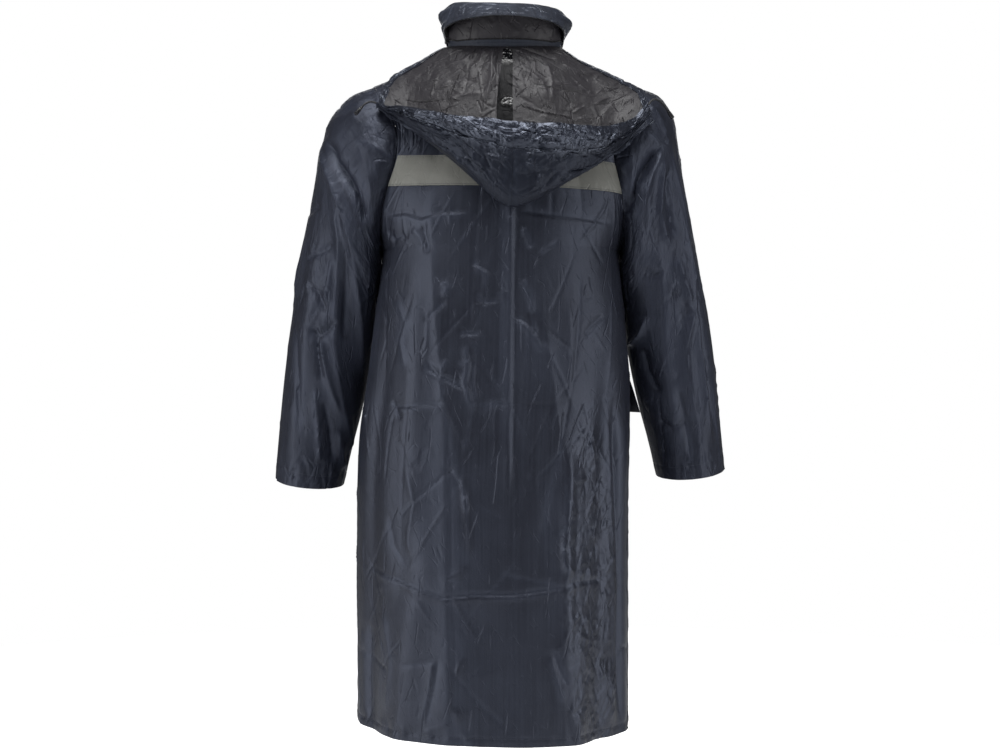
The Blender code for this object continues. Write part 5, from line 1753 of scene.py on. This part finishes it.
@dataclass
class Hood:
    """The thrown-back hood: two halves, turned side hems, rim casing and seam tape."""

    wardrobe: Wardrobe
    coat: BVHTree
    rows: int = 246
    half_columns: int = 106
    hem_at_neck: float = 0.085
    hem_narrows: float = 0.1
    hem_least: float = 0.045

    def __post_init__(self) -> None:
        """Choose the puckers of the hood's parts."""
        self.patterns = (
            Crinkle(0.034, 0.003, 2.2, 0.2, 0.05, 0.45, 102),
            Crinkle(0.012, 0.0007, 2.2, 0.2, 0.14, 0.6, 104),
        )
        fan_left = (
            Crinkle(0.022, 0.0038, 5.5, -0.95, 0.06, 0.55, 103),
            Crinkle(0.014, 0.0018, 6.0, -0.65, 0.08, 0.5, 114),
        )
        fan_right = (
            Crinkle(0.022, 0.0038, 5.5, 1.05, 0.06, 0.55, 115),
            Crinkle(0.014, 0.0018, 6.0, 0.75, 0.08, 0.5, 116),
        )
        self.fans = (1, fan_left), (-1, fan_right)
        self.swell = Swell(0.05, 0.0018, 1.6, 0.5, 101)
        self.rim = (
            Crinkle(0.03, 0.0056, 0.6, 0.3, 0.12, 0.95, 105),
            Crinkle(0.011, 0.0018, 0.7, -0.4, 0.18, 0.9, 106),
            Swell(0.024, 0.0024, 0.8, 0.1, 107),
        )
        self.crown = (
            Crinkle(0.04, 0.0075, 1.3, 0.9, 0.1, 0.9, 112),
            Crinkle(0.024, 0.0036, 1.5, -0.6, 0.12, 0.85, 113),
        )
        self.edge = Swell(0.042, 0.003, seed=108), Swell(0.017, 0.0014, seed=109)

    def place(self, length: Array, across: Array) -> Grid:
        """Points, normals (towards the hood's inside) and crease heights."""
        length, across = np.broadcast_arrays(length, across)
        clearance = through(HOOD_CLEARANCE, length)[..., 0]
        plain = hood_surface(length, across)
        points = eased(plain, held_off(plain, self.coat, clearance))
        normals = grid_normals(points)
        share = np.abs(across)
        reach = HOOD_REACH * smooth_step(length / 0.3) * 0.35 + 0.155
        u, v = across * reach, length * HOOD_LENGTH
        calm = smooth_step((0.56 - length) / 0.06) + smooth_step((length - 0.66) / 0.06)
        ends = smooth_step((1.0 - share) / 0.16)
        start = smooth_step(length / 0.04)
        small = line_height(u, v, HOOD_CREASES) * (length < 0.5)
        small = small + heights(self.patterns, u, v)
        for side, patterns in self.fans:
            small = small + heights(patterns, u, v) * smooth_step(side * u / 0.04 + 0.5)
        at_rim = smooth_step((length - 0.84) / 0.05)
        small = small + at_rim * heights(self.rim, u, v)
        at_crown = smooth_step((length - 0.68) / 0.05) * (1 - at_rim)
        small = small + at_crown * heights(self.crown, u, v)
        self.worn = worn_from(small, 0.004) * 0.5
        self.crushed = at_rim * 0.85 + 0.15
        small = (small + self.swell.height(u, v)) * np.clip(calm, 0.25, 1) * (0.2 + 0.8 * ends)
        small = small * start * (1 - 0.75 * hump(share * HOOD_REACH, 0.01))
        small = small - sewn((length - CASING_LINE) * HOOD_LENGTH, u, 110, 0.009) * 1.8
        puffed = np.maximum(length - CASING_LINE, 0) / CASING_SHARE
        small = small - 0.005 * np.sin(math.pi * puffed) ** 0.7 * (0.3 + 0.7 * ends)
        points = points + normals * small[..., None]
        points[..., 2] += heights(self.edge, u, 0 * u) * at_rim * ends
        return points, normals, small

    def build(self) -> list[Object]:
        """Both halves, their hems and casings, and the tape over their seam."""
        length = np.linspace(0, 1, self.rows)[:, None]
        half = np.linspace(SEAM_GAP / 0.4, HOOD_EDGE_SHARE, self.half_columns)
        across = np.concatenate([-half[::-1], half])[None, :]
        points, _, _ = self.place(length, across)
        rest = np.where(length < 0.6, 0.0016, 0.003) + 0 * across
        points = eased(points, held_off(points, self.coat, rest))
        self.points = held_off(points, self.coat, rest * 0.6)
        normals = grid_normals(self.points)
        self.across, self.length = across[0], length[:, 0]
        faces = self.wardrobe.pair(Finish.GREY_COATING, Finish.CROWN_NYLON)
        made = []
        middle = self.half_columns
        for name, out, side in (("left", 1, np.s_[middle:]), ("right", -1, np.s_[:middle])):
            grid = self.points[:, side], normals[:, side]
            worn, crushed = self.worn[:, side], self.crushed[:, side]
            obj = sheet_mesh(f"hood_{name}_cloth", *grid, faces, worn, crushed=crushed)
            made.append(declare(obj, f"hood_{name}"))
            made += [self.hem(name, out), self.casing(name, out)]
        return made + [self.tape()]

    def hem_width(self, length: Array) -> Array:
        """How much of a half its side hem takes up, as a share."""
        return np.maximum(self.hem_at_neck - self.hem_narrows * length, self.hem_least)

    def hem(self, name: str, out: int) -> Object:
        """The turned side hem of one half, on its inside; out is 1 for the wearer's left."""
        length = np.linspace(0.035, 0.8, 180)[:, None]
        wide = self.hem_width(length)
        share = np.linspace(0, 1, 16)[None, :]
        points = self.read(length, out * (1 - wide + share * (wide - 1 + HOOD_EDGE_SHARE)))
        normals = out * grid_normals(points)
        lift = 0.001 + sewn(share * wide * HOOD_REACH - 0.003, length * HOOD_LENGTH, 111)
        points = points + normals * lift[..., None]
        faces = self.wardrobe.pair(Finish.HOOD_NYLON, Finish.HOOD_NYLON)
        title = f"hood_{name}_hem_cloth"
        obj = sheet_mesh(title, points, normals, faces, thickness=0.0005, crushed=0.8)
        return declare(obj, f"hood_{name}_side_hem")

    def casing(self, name: str, out: int) -> Object:
        """The turned rim of one half, on its inside."""
        length = np.linspace(CASING_LINE, 1, 30)[:, None]
        half = np.linspace(SEAM_GAP / 2 / HOOD_HALF_WIDTH, 0.985, self.half_columns)
        points = self.read(length, out * half[None, :])
        normals = out * grid_normals(points)
        points = points + normals * 0.0008
        faces = self.wardrobe.pair(Finish.HOOD_NYLON, Finish.HOOD_NYLON)
        title = f"hood_{name}_casing_cloth"
        # the casing's colour is lightened throughout by 0.45 of painted sheen
        obj = sheet_mesh(title, points, normals, faces, 0.45, thickness=0.0005, crushed=1.0)
        return declare(obj, f"hood_{name}_casing")

    def tape(self) -> Object:
        """The glossy sealing tape over the centre seam."""
        wide = HOOD_TAPE_WIDTH / 2 / HOOD_REACH
        length = self.length[(self.length > 0.03) & (self.length < 0.8)][:, None]
        across = np.linspace(-wide, wide, 14)[None, :]
        points = self.read(length, across)
        normals = grid_normals(points)
        buckles = Crinkle(0.006, 0.0012, 0.7, 0.1, 0.3, 0.9, 121)
        buckle = np.abs(buckles.height(across * HOOD_REACH, length * HOOD_LENGTH))
        loose = patch(across, length, ((-0.02, 0.31, 0.06, 0.02),))
        loose = smooth_step((0.15 - length) / 0.05) + loose
        points = points + normals * (0.001 + buckle * (0.12 + loose))[..., None]
        faces = self.wardrobe.pair(Finish.SEAM_TAPE, Finish.SEAM_TAPE)
        looks = {"thickness": 0.0004, "crushed": loose + 0 * across}
        obj = sheet_mesh("hood_sealing_tape", points, normals, faces, **looks)
        return declare(obj, "hood_seam_tape")

    def read(self, length: Array, across: Array) -> Array:
        """Points of the built hood between its grid's own points."""
        row = np.interp(length, self.length, np.arange(len(self.length)))
        column = np.interp(across, self.across, np.arange(len(self.across)))
        row, column = np.broadcast_arrays(row, column)
        row_0 = np.clip(row.astype(int), 0, len(self.length) - 2)
        column_0 = np.clip(column.astype(int), 0, len(self.across) - 2)
        down, out = (row - row_0)[..., None], (column - column_0)[..., None]
        low, high = (
            self.points[at, column_0] * (1 - out) + self.points[at, column_0 + 1] * out
            for at in (row_0, row_0 + 1)
        )
        return low * (1 - down) + high * down

    def sew(self, sewing: Sewing) -> None:
        """Stitches of the side hems, and of the casing on the hood's outside."""
        for name, side in (("left", 1), ("right", -1)):
            length = np.linspace(0.05, 0.79, 160)[:, None]
            near = side * (1 - self.hem_width(length) + 0.014) + np.array([[-0.01, 0, 0.01]])
            points = self.read(length, near)
            normals = grid_normals(points)
            route = points[:, 1] + normals[:, 1] * 0.0008
            sewing.row(f"hood_{name}_hem", route, normals[:, 1])
        near = CASING_LINE + np.array([[-0.008], [0], [0.008]])
        points = self.read(near, np.linspace(-0.97, 0.97, 300)[None, :] + 0 * near)
        normals = -grid_normals(points)
        sewing.row("hood_casing", points[1] + normals[1] * CLOTH, normals[1])


@dataclass
class Collar:
    """The stand collar that the hood rolls into: two layers, zip tapes and teeth."""

    wardrobe: Wardrobe
    columns: int = 236
    zip_columns: int = 170
    inner_rows: int = 22
    outer_rows: int = 31
    tooth_pitch: float = 0.0019
    tooth_size: tuple[float, float, float] = (0.0009, 0.0026, 0.0013)

    def __post_init__(self) -> None:
        """Choose the puckers of both layers."""
        self.patterns = (
            Swell(0.03, 0.0014, 1.2, 0.3, 131),
            Crinkle(0.024, 0.0022, 1.0, 0.3, 0.16, 0.75, 132),
            Crinkle(0.012, 0.0009, 0.9, -0.4, 0.22, 0.75, 133),
        )

    def place(self, surface: Callable, levels: Array, angles: Array, raised: float) -> Grid:
        """Points and outward normals of one layer, before its creases."""
        points = surface(levels, angles)
        normals = normals_of(surface, levels, angles)
        outwards = np.sum(normals * outward(angles), axis=-1, keepdims=True)
        points[..., 0] += section_shift(neck_seam(angles)[..., 2])
        points[..., 2] += raised
        return points, normals * np.where(outwards < 0, -1, 1)

    def inner(self, levels: Array, angles: Array) -> Grid:
        """The inner layer's points, normals and crease heights."""
        levels, angles = np.broadcast_arrays(levels, angles)
        points, normals = self.place(collar_inner_surface, levels, angles, SEAM_GAP)
        fade = smooth_step(levels / 0.35) * smooth_step((1 - levels) / 0.1)
        behind = smooth_step((ZIP_END_ANGLE - np.abs(angles)) / 0.2) * 0.7 + 0.3
        small = heights(self.patterns, angles * 0.08, levels * COLLAR_HEIGHT) * fade * behind
        return points + normals * np.minimum(small, 0.002)[..., None], normals, small

    def outer(self, levels: Array, angles: Array) -> Grid:
        """The outer layer's points, normals and crease heights."""
        levels, angles = np.broadcast_arrays(levels, angles)
        points, normals = self.place(collar_outer_surface, levels, angles, 2 * SEAM_GAP)
        from_back = np.abs(angles)
        fade = smooth_step(levels / 0.12) * (0.35 + 0.65 * smooth_step((1 - levels) / 0.2))
        free = smooth_step((1.9 - from_back) / 0.5) * 0.8 + 0.2
        u, v = angles * 0.1, (1 - levels) * COLLAR_HEIGHT
        small = heights(self.patterns, u + 0.3, v) * fade * free
        corner = np.where(angles > 0, 0.22, 0.4)
        bend = 0.005 * hump(levels - corner, 0.12) - 0.005 * hump(levels - corner - 0.36, 0.16)
        small = small + bend * hump(from_back - 1.45, 0.4)
        small = small + sewn(v - 0.01, u, 134) * (from_back < ZIP_END_ANGLE)
        small = small + sewn(levels * COLLAR_HEIGHT - 0.006, u, 135) * 0.8
        return points + normals * small[..., None], normals, small

    def build(self) -> list[Object]:
        """Both layers and both zip tapes."""
        grey = self.wardrobe.pair(Finish.GREY_COATING, Finish.GREY_COATING)
        navy = self.wardrobe.pair(Finish.HOOD_NYLON, Finish.GREY_COATING)
        woven = self.wardrobe.pair(Finish.ZIP_TAPE, Finish.ZIP_TAPE)
        angles = np.linspace(-COLLAR_END_ANGLE, COLLAR_END_ANGLE, self.columns)[None, :]
        points, normals, small = self.inner(np.linspace(0, 1, self.inner_rows)[:, None], angles)
        # painted light: the shaded inner collar is lightened by 0.6 on top of its crease wear
        worn = worn_from(small) + 0.6
        inner = sheet_mesh("collar_inner_cloth", points, normals, grey, worn)
        points, normals, small = self.outer(np.linspace(0, 1, self.outer_rows)[:, None], angles)
        worn = worn_from(small)
        outer = sheet_mesh("collar_outer_cloth", points, normals, navy, worn)
        angles = np.linspace(-ZIP_END_ANGLE, ZIP_END_ANGLE, self.zip_columns)[None, :]
        share = np.linspace(0, 1, 9)[:, None]
        points, normals, _ = self.inner(share * zip_level(angles), angles)
        ridge = 0.0009 + 0.0008 * hump(share - 0.45, 0.1)
        points = points + normals * (ridge + 0 * angles)[..., None]
        lower = sheet_mesh("zip_tape_lower_cloth", points, normals, woven)
        edge = 1 - ZIP_TAPE_WIDTH / COLLAR_HEIGHT * 0.95
        points, normals, _ = self.outer(np.linspace(edge, 1, 7)[:, None], angles)
        points = points - normals * 0.0009
        upper = sheet_mesh("zip_tape_upper_cloth", points, -normals, woven)
        return [
            declare(inner, "collar_inner"),
            declare(outer, "collar_outer"),
            declare(lower, "zip_tape_lower"),
            declare(upper, "zip_tape_upper"),
        ]

    def tooth(self) -> Object:
        """One tooth of the coil: a short rounded bar that stands across the tape."""
        tooth = add_primitive(bpy.ops.mesh.primitive_cube_add, "tooth", size=1.0)
        tooth.data.transform(Matrix.Diagonal((*self.tooth_size, 1)))
        round_edges(tooth, 0.0003, 1)
        return tooth

    def teeth(self) -> None:
        """The coils on the edges of both tapes."""
        angles = np.linspace(-ZIP_END_ANGLE * 0.97, ZIP_END_ANGLE * 0.97, 200)
        points, normals, _ = self.inner(zip_level(angles), angles)
        lower = points + normals * 0.0015 + np.array([0, 0, 0.0006]), normals
        points, normals, _ = self.outer(0 * angles + 1, angles)
        upper = points - normals * 0.0015, -normals
        material = self.wardrobe.get(Finish.PLASTIC)
        for name, route in (("lower", lower), ("upper", upper)):
            places, frames = evenly(*route, self.tooth_pitch)
            obj = copies_mesh(f"zip_teeth_{name}", self.tooth(), places, frames, material)
            declare(obj)

    def sew(self, sewing: Sewing) -> None:
        """Stitches above the zip and below the collar's top fold."""
        across = np.linspace(-2.9, 2.9, 240)
        for name, level, reach in (("top", 0.085, 2.9), ("edge", 0.86, ZIP_END_ANGLE * 0.98)):
            angles = across / 2.9 * reach
            points, normals, _ = self.outer(0 * angles + level, angles)
            sewing.row(f"collar_{name}", points, normals)


@dataclass
class PressStuds:
    """Domed caps of the press studs down the front's edge."""

    wardrobe: Wardrobe
    count: int = 9
    segments: int = 28
    # each step inwards: its inset and its rise, as shares of the radius and the height
    steps: tuple = ((0.1, 0.2), (0.16, 0), (0.1, -0.16), (0.14, 0.2), (0.18, 0.22), (0.14, 0.1))

    def build(self) -> list[Object]:
        """One cap for each stud."""
        return [self.cap(f"snap_cap_{index}") for index in range(1, self.count + 1)]

    def cap(self, node: str) -> Object:
        """A cap on its solid's place and slant: rolled rim, shallow dish, domed middle."""
        middle, spread, axes = node_points(node)
        up = Vector(axes[2])
        if up.y > 0:
            up = -up
        reach = spread @ np.array(up)
        foot, height = Vector(middle) + up * reach.min(), np.ptp(reach)
        radius = np.linalg.norm(spread - np.outer(reach, up), axis=1).max()
        sizes = {"vertices": self.segments, "radius": radius, "depth": height * 0.5}
        obj = add_primitive(bpy.ops.mesh.primitive_cylinder_add, f"stud_{node[-1]}", **sizes)
        bpy.ops.object.mode_set(mode="EDIT")
        pick_faces(obj, lambda face: face.normal.z > 0.9)
        for inset, lift in self.steps:
            bpy.ops.mesh.inset(thickness=radius * inset)
            bpy.ops.transform.translate(value=(0, 0, height * lift))
        round_edges(obj, radius * 0.05)
        lifted = Matrix.Translation(foot + up * height * 0.25)
        settle(obj, lifted @ upright(up), self.wardrobe.get(Finish.METAL), 40)
        return declare(obj, node)


@dataclass
class Drawcord:
    """One end of the hood's drawcord, with its moulded bell."""

    wardrobe: Wardrobe
    side: str
    route: tuple
    length: float
    hidden: tuple[float, float, float]
    diameter: float = 0.0032
    lay_length: float = 0.0052
    around: int = 28
    along: int = 90
    # each step up the bell: its share of the length, and how much the ring swells
    steps: tuple = (
        (0.1, 1.2), (0.04, 0.86), (0.05, 1.16), (0.16, 1.1),
        (0.2, 1.08), (0.2, 1.02), (0.14, 0.95), (0.06, 0.8),
    )

    def path(self, coat: BVHTree) -> Array:
        """The cord's centreline, from just inside the casing."""
        route = np.array(self.route)
        reach = reach_along(route)
        count = int(reach[-1] / 0.0064) + 1
        points = through(np.column_stack([reach, route]), np.linspace(0, reach[-1], count))
        points = held_off(points, coat, CORD_CLEARANCE)
        points = np.concatenate([[points[0] + np.array(self.hidden)], points])
        reach = reach_along(points)
        return through(np.column_stack([reach, points]), np.linspace(0, reach[-1], self.along))

    def build(self, coat: BVHTree) -> None:
        """The braided cord and its bell."""
        path = self.path(coat)
        frames = frames_along(path, np.array([0.0, 1.0, 0.0]))
        turn = np.linspace(0, 2 * math.pi, self.around, endpoint=False)
        lay = reach_along(path)[:, None] / self.lay_length * 2 * math.pi
        braid = np.abs(np.sin(4 * turn + lay)) + np.abs(np.sin(4 * turn - lay))
        radius = self.diameter / 2 * (0.93 + 0.055 * braid)
        turn = turn[None, :, None]
        ring = np.cos(turn) * frames[:, None, 1] + np.sin(turn) * frames[:, None, 2]
        cord = self.tube(path[:, None] + ring * radius[..., None], path)
        bell = self.bell()
        declare(cord, f"cord_{self.side}")
        declare(bell, f"cord_end_{self.side}")

    def tube(self, points: Array, path: Array) -> Object:
        """A closed tube through rings of points, with a fan of faces over each end."""
        rows, columns = points.shape[:2]
        vertices = np.concatenate([points.reshape(-1, 3), path[[0, -1]]])
        faces = grid_index(quads(rows - 1, columns), columns).tolist()
        last = (rows - 1) * columns
        for column in range(columns):
            beside = (column + 1) % columns
            faces.append((rows * columns, beside, column))
            faces.append((rows * columns + 1, last + column, last + beside))
        material = self.wardrobe.get(Finish.CORD)
        obj = new_piece(f"cord_{self.side}_braid", vertices, faces, (material,))
        work = bmesh.new()
        work.from_mesh(obj.data)
        bmesh.ops.recalc_face_normals(work, faces=work.faces)
        work.to_mesh(obj.data)
        work.free()
        return obj

    def bell(self) -> Object:
        """The moulded bell: narrow neck, ribbed waist and rounded mouth."""
        middle, spread, axes = node_points(f"cord_end_{self.side}")
        up, away = axes[0], np.linalg.norm(spread, axis=1)
        reach = spread @ up
        if away[reach > reach.max() - 1e-4].max() < away[reach < reach.min() + 1e-4].max():
            up, reach = -up, -reach
        length, foot = np.ptp(reach), middle + up * reach.min()
        radius = np.linalg.norm(spread - np.outer(reach, up), axis=1).max()
        sizes = {"vertices": 24, "radius": radius * 0.62, "depth": length * 0.06}
        obj = add_primitive(bpy.ops.mesh.primitive_cylinder_add, f"bell_{self.side}", **sizes)
        bpy.ops.object.mode_set(mode="EDIT")
        pick_faces(obj, lambda face: face.normal.z > 0.9)
        for share, swell in self.steps:
            move = {"value": (0, 0, length * share)}
            bpy.ops.mesh.extrude_region_move(TRANSFORM_OT_translate=move)
            bpy.ops.transform.resize(value=(swell, swell, 1))
        round_edges(obj, radius * 0.06)
        levels = np.array([vertex.co.z for vertex in obj.data.vertices])
        wide = max(math.hypot(vertex.co.x, vertex.co.y) for vertex in obj.data.vertices)
        fit = Matrix.Diagonal((radius / wide, radius / wide, length / np.ptp(levels), 1))
        base = Matrix.Translation((0, 0, -levels.min()))
        placed = Matrix.Translation(Vector(foot)) @ upright(Vector(up)) @ fit @ base
        settle(obj, placed, self.wardrobe.get(Finish.PLASTIC), 50)
        return obj


@dataclass
class ZipSlider:
    """The zip's slider and the tab that swings on it."""

    wardrobe: Wardrobe

    def local_frame(self, node: str) -> Matrix:
        """Frame of a node: X along the zip, Y away from the collar and Z up."""
        axis = Vector(frame["joints"][0]["axis"]).normalized()
        up = Vector((0, 0, 1))
        away = up.cross(axis)
        low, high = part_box(node)
        if away.dot(Vector(((low + high) / 2).xy.to_3d())) < 0:
            away = -away
        placed = Matrix((away.cross(up), away, up)).transposed().to_4x4()
        placed.translation = (low + high) / 2
        return placed

    def build(self) -> None:
        """The slider's body and the tab, each a cast block."""
        declare(self.block("zip_slider", "slider_body", 0.16), "zip_slider")
        tab = self.block("zip_pull", "pull_tab_plate", 0.1)
        declare(tab, "zip_pull", PULL_TAB)

    def block(self, node: str, name: str, waist: float) -> Object:
        """A cast piece inside its node's own box, waisted, rimmed and rounded."""
        placed = self.local_frame(node)
        back = placed.inverted()
        points = [back @ vertex.co for vertex in frame["nodes"][node].data.vertices]
        low = Vector(min(point[i] for point in points) for i in range(3))
        high = Vector(max(point[i] for point in points) for i in range(3))
        obj = add_primitive(bpy.ops.mesh.primitive_cube_add, name, size=1.0)
        bpy.ops.object.mode_set(mode="EDIT")
        bpy.ops.mesh.subdivide(number_cuts=3)
        mesh = bmesh.from_edit_mesh(obj.data)
        for vertex in mesh.verts:
            vertex.co.x *= 1 - waist * (1 - (2 * abs(vertex.co.z)) ** 2)

        def in_panel(face: bmesh.types.BMFace) -> bool:
            """Whether a face is in the middle of the side away from the collar."""
            middle = face.calc_center_median()
            return face.normal.y > 0.9 and abs(middle.x) < 0.3 and abs(middle.z) < 0.3

        pick_faces(obj, in_panel)
        bpy.ops.mesh.inset(thickness=0.05)
        bpy.ops.transform.translate(value=(0, -0.16, 0))
        round_edges(obj, 0.05)
        fit = Matrix.Translation((high + low) / 2) @ Matrix.Diagonal((*(high - low), 1))
        settle(obj, placed @ fit, self.wardrobe.get(Finish.METAL), 40)
        return obj


@dataclass
class Studio:
    """Camera, pale round floor, soft lights and a pale world."""

    distance: float = 2.7
    height: float = -0.555
    lens: float = 57.17
    floor_z: float = -1.55
    # name, place, width and height, power
    lights: tuple = (
        ("left softbox", (2.2, 1.25, -0.3), (1.7, 2.4), 32.0),
        ("right softbox", (-2.1, 1.2, -0.4), (1.2, 2.4), 20.0),
        ("front softbox", (0.1, 1.5, 1.7), (2.0, 0.7), 22.0),
        ("top softbox", (0.0, 0.55, 1.9), (1.6, 0.6), 34.0),
        ("far light", (0.0, -2.6, 0.6), (2.4, 1.6), 24.0),
    )

    def build(self) -> None:
        """Set the studio up round the coat."""
        scene = bpy.context.scene
        camera_data = bpy.data.cameras.new("camera")
        camera_data.lens = self.lens
        camera_data.sensor_width = 36.0
        camera = bpy.data.objects.new("camera", camera_data)
        scene.collection.objects.link(camera)
        camera.location = (0, self.distance, self.height)
        camera.rotation_euler = (math.pi / 2, 0, math.pi)
        scene.camera = camera
        self.floor()
        for light in self.lights:
            self.light(*light)
        world = bpy.data.worlds.new("studio")
        world.use_nodes = True
        background = world.node_tree.nodes["Background"]
        background.inputs["Color"].default_value = (1.0, 1.0, 1.0, 1.0)
        self.brighter(world.node_tree, background.inputs["Strength"], 0.12)
        scene.world = world
        scene.view_settings.view_transform = "Standard"

    def brighter(self, tree: NodeTree, strength: Socket, lit: float) -> None:
        """Make a surface bright to the camera and dimmer to the coat."""
        made = Tree(tree)
        seen = made.add("LightPath").outputs["Is Camera Ray"]
        tree.links.new(made.spread(seen, 0, 1, lit, 1.0), strength)

    def light(self, name: str, place: tuple, size: tuple, power: float) -> None:
        """A soft area light that faces the coat's middle."""
        data = bpy.data.lights.new(name, "AREA")
        data.shape = "RECTANGLE"
        data.size, data.size_y = size
        data.energy = power
        obj = bpy.data.objects.new(name, data)
        bpy.context.scene.collection.objects.link(obj)
        obj.location = place
        toward = Vector((0, 0, self.height)) - Vector(place)
        obj.rotation_euler = toward.to_track_quat("-Z", "Y").to_euler()

    def floor(self) -> None:
        """The floor, which is part of the stage."""
        add = bpy.ops.mesh.primitive_circle_add
        sizes = {"vertices": 96, "radius": 3.6, "fill_type": "NGON"}
        floor = add_primitive(add, "floor", location=(0, 0, self.floor_z), **sizes)
        material, made, shader = new_material("pale_floor")
        place = made.add("TexCoord").outputs["Object"]
        colour = made.mix(made.noise(place, 60.0, 4.0), (0.9, 0.9, 0.9), (0.93, 0.93, 0.93))
        made.tree.links.new(colour, shader.inputs["Base Color"])
        shader.inputs["Roughness"].default_value = 0.9
        shader.inputs["Emission Color"].default_value = (1, 1, 1, 1)
        self.brighter(made.tree, shader.inputs["Emission Strength"], 0.15)
        floor.data.materials.append(material)


# ---------------------------------------------------------------- building the coat

# cloth, how it is held, and what it hangs from or lies on
SHEETS = (
    ("back_cloth", "hung", "front_left_cloth", "front_right_cloth"),
    ("front_left_cloth", "hung", "back_cloth"),
    ("front_right_cloth", "hung", "back_cloth"),
    ("sleeve_left_cloth", "hung", "back_cloth", "front_left_cloth"),
    ("sleeve_right_cloth", "hung", "back_cloth", "front_right_cloth"),
    ("hood_left_cloth", "draped", "back_cloth", "sleeve_left_cloth"),
    ("hood_right_cloth", "draped", "back_cloth", "sleeve_right_cloth"),
    ("hood_left_hem_cloth", "laid", "hood_left_cloth"),
    ("hood_right_hem_cloth", "laid", "hood_right_cloth"),
    ("hood_left_casing_cloth", "laid", "hood_left_cloth"),
    ("hood_right_casing_cloth", "laid", "hood_right_cloth"),
    ("hood_sealing_tape", "laid", "hood_left_cloth", "hood_right_cloth"),
    ("collar_inner_cloth", "stretched", "back_cloth"),
    ("collar_outer_cloth", "stretched", "collar_inner_cloth"),
    ("zip_tape_lower_cloth", "laid", "collar_inner_cloth"),
    ("zip_tape_upper_cloth", "laid", "collar_outer_cloth"),
    ("reflective_band", "laid", "back_cloth"),
    ("flap_left_cloth", "hung", "front_left_cloth"),
    ("flap_right_cloth", "hung", "front_right_cloth"),
)


def declare_sheets() -> None:
    """Read each sheet's cloth map and face areas; nothing more is done with them."""
    for name, held, *rests_on in SHEETS:
        obj = bpy.data.objects[name]
        mesh = obj.data
        places = np.empty(len(mesh.loops) * 2)
        mesh.uv_layers["cloth"].data.foreach_get("uv", places)
        faces = np.empty(len(mesh.polygons))
        mesh.polygons.foreach_get("area", faces)


def coat_tree(pieces: list) -> BVHTree:
    """A search tree over the outer faces of several pieces' grids."""
    places, faces = [], []
    for points, normals, ring in pieces:
        rows, columns = points.shape[:2]
        corners = quads(rows - 1, columns if ring else columns - 1)
        loops = grid_index(corners, columns)
        wrong = facing(points, normals, loops) < 0
        loops[wrong] = loops[wrong][:, ::-1]
        faces += (loops + len(places)).tolist()
        places += points.reshape(-1, 3).tolist()
    return BVHTree.FromPolygons(places, faces)


def main() -> None:
    """Build the coat's pieces in order, dress them and set the studio up."""
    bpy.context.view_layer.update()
    wardrobe = Wardrobe()
    Studio().build()
    back = Back(wardrobe)
    back_cloth = back.build()
    log.info("back: %d faces", len(back_cloth.data.polygons))
    sleeves = [Sleeve(wardrobe, 1), Sleeve(wardrobe, -1)]
    cloths = [sleeve.build() for sleeve in sleeves]
    log.info("sleeves: %s faces", [len(cloth.data.polygons) for cloth in cloths])
    fronts = [Front(wardrobe, 1), Front(wardrobe, -1, flap_rear_stand=0.02)]
    cloths = [front.build() for front in fronts]
    log.info("fronts: %s faces", [len(cloth.data.polygons) for cloth in cloths])
    grids = [(back.points, back.normals, False)]
    grids += [(sleeve.points, sleeve.normals, True) for sleeve in sleeves]
    grids += [(front.points, front.normals, False) for front in fronts]
    coat = coat_tree(grids)

    Drawcord(wardrobe, "left", LEFT_CORD_ROUTE, 0.034, (-0.0055, 0.001, -0.002)).build(coat)
    Drawcord(wardrobe, "right", RIGHT_CORD_ROUTE, 0.048, (0.0045, 0.001, -0.002)).build(coat)
    log.info("drawcord ends: 2")
    back.tape()
    flaps = [front.flap() for front in fronts]
    log.info("reflective tape and %d pocket flaps", len(flaps))
    hood = Hood(wardrobe, coat)
    cloths = hood.build()
    log.info("hood: %d pieces", len(cloths))
    collar = Collar(wardrobe)
    cloths = collar.build()
    collar.teeth()
    log.info("collar: %d cloths and its teeth", len(cloths))
    sewing = Sewing(wardrobe)
    for piece in (back, *fronts, *sleeves, hood, collar):
        piece.sew(sewing)
    log.info("sewing: %d rows", sewing.rows)
    studs = PressStuds(wardrobe).build()
    log.info("press studs: %d", len(studs))
    ZipSlider(wardrobe).build()
    log.info("zip slider and pull tab")
    declare_sheets()


if __name__ == "__main__":
    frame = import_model()
    main()
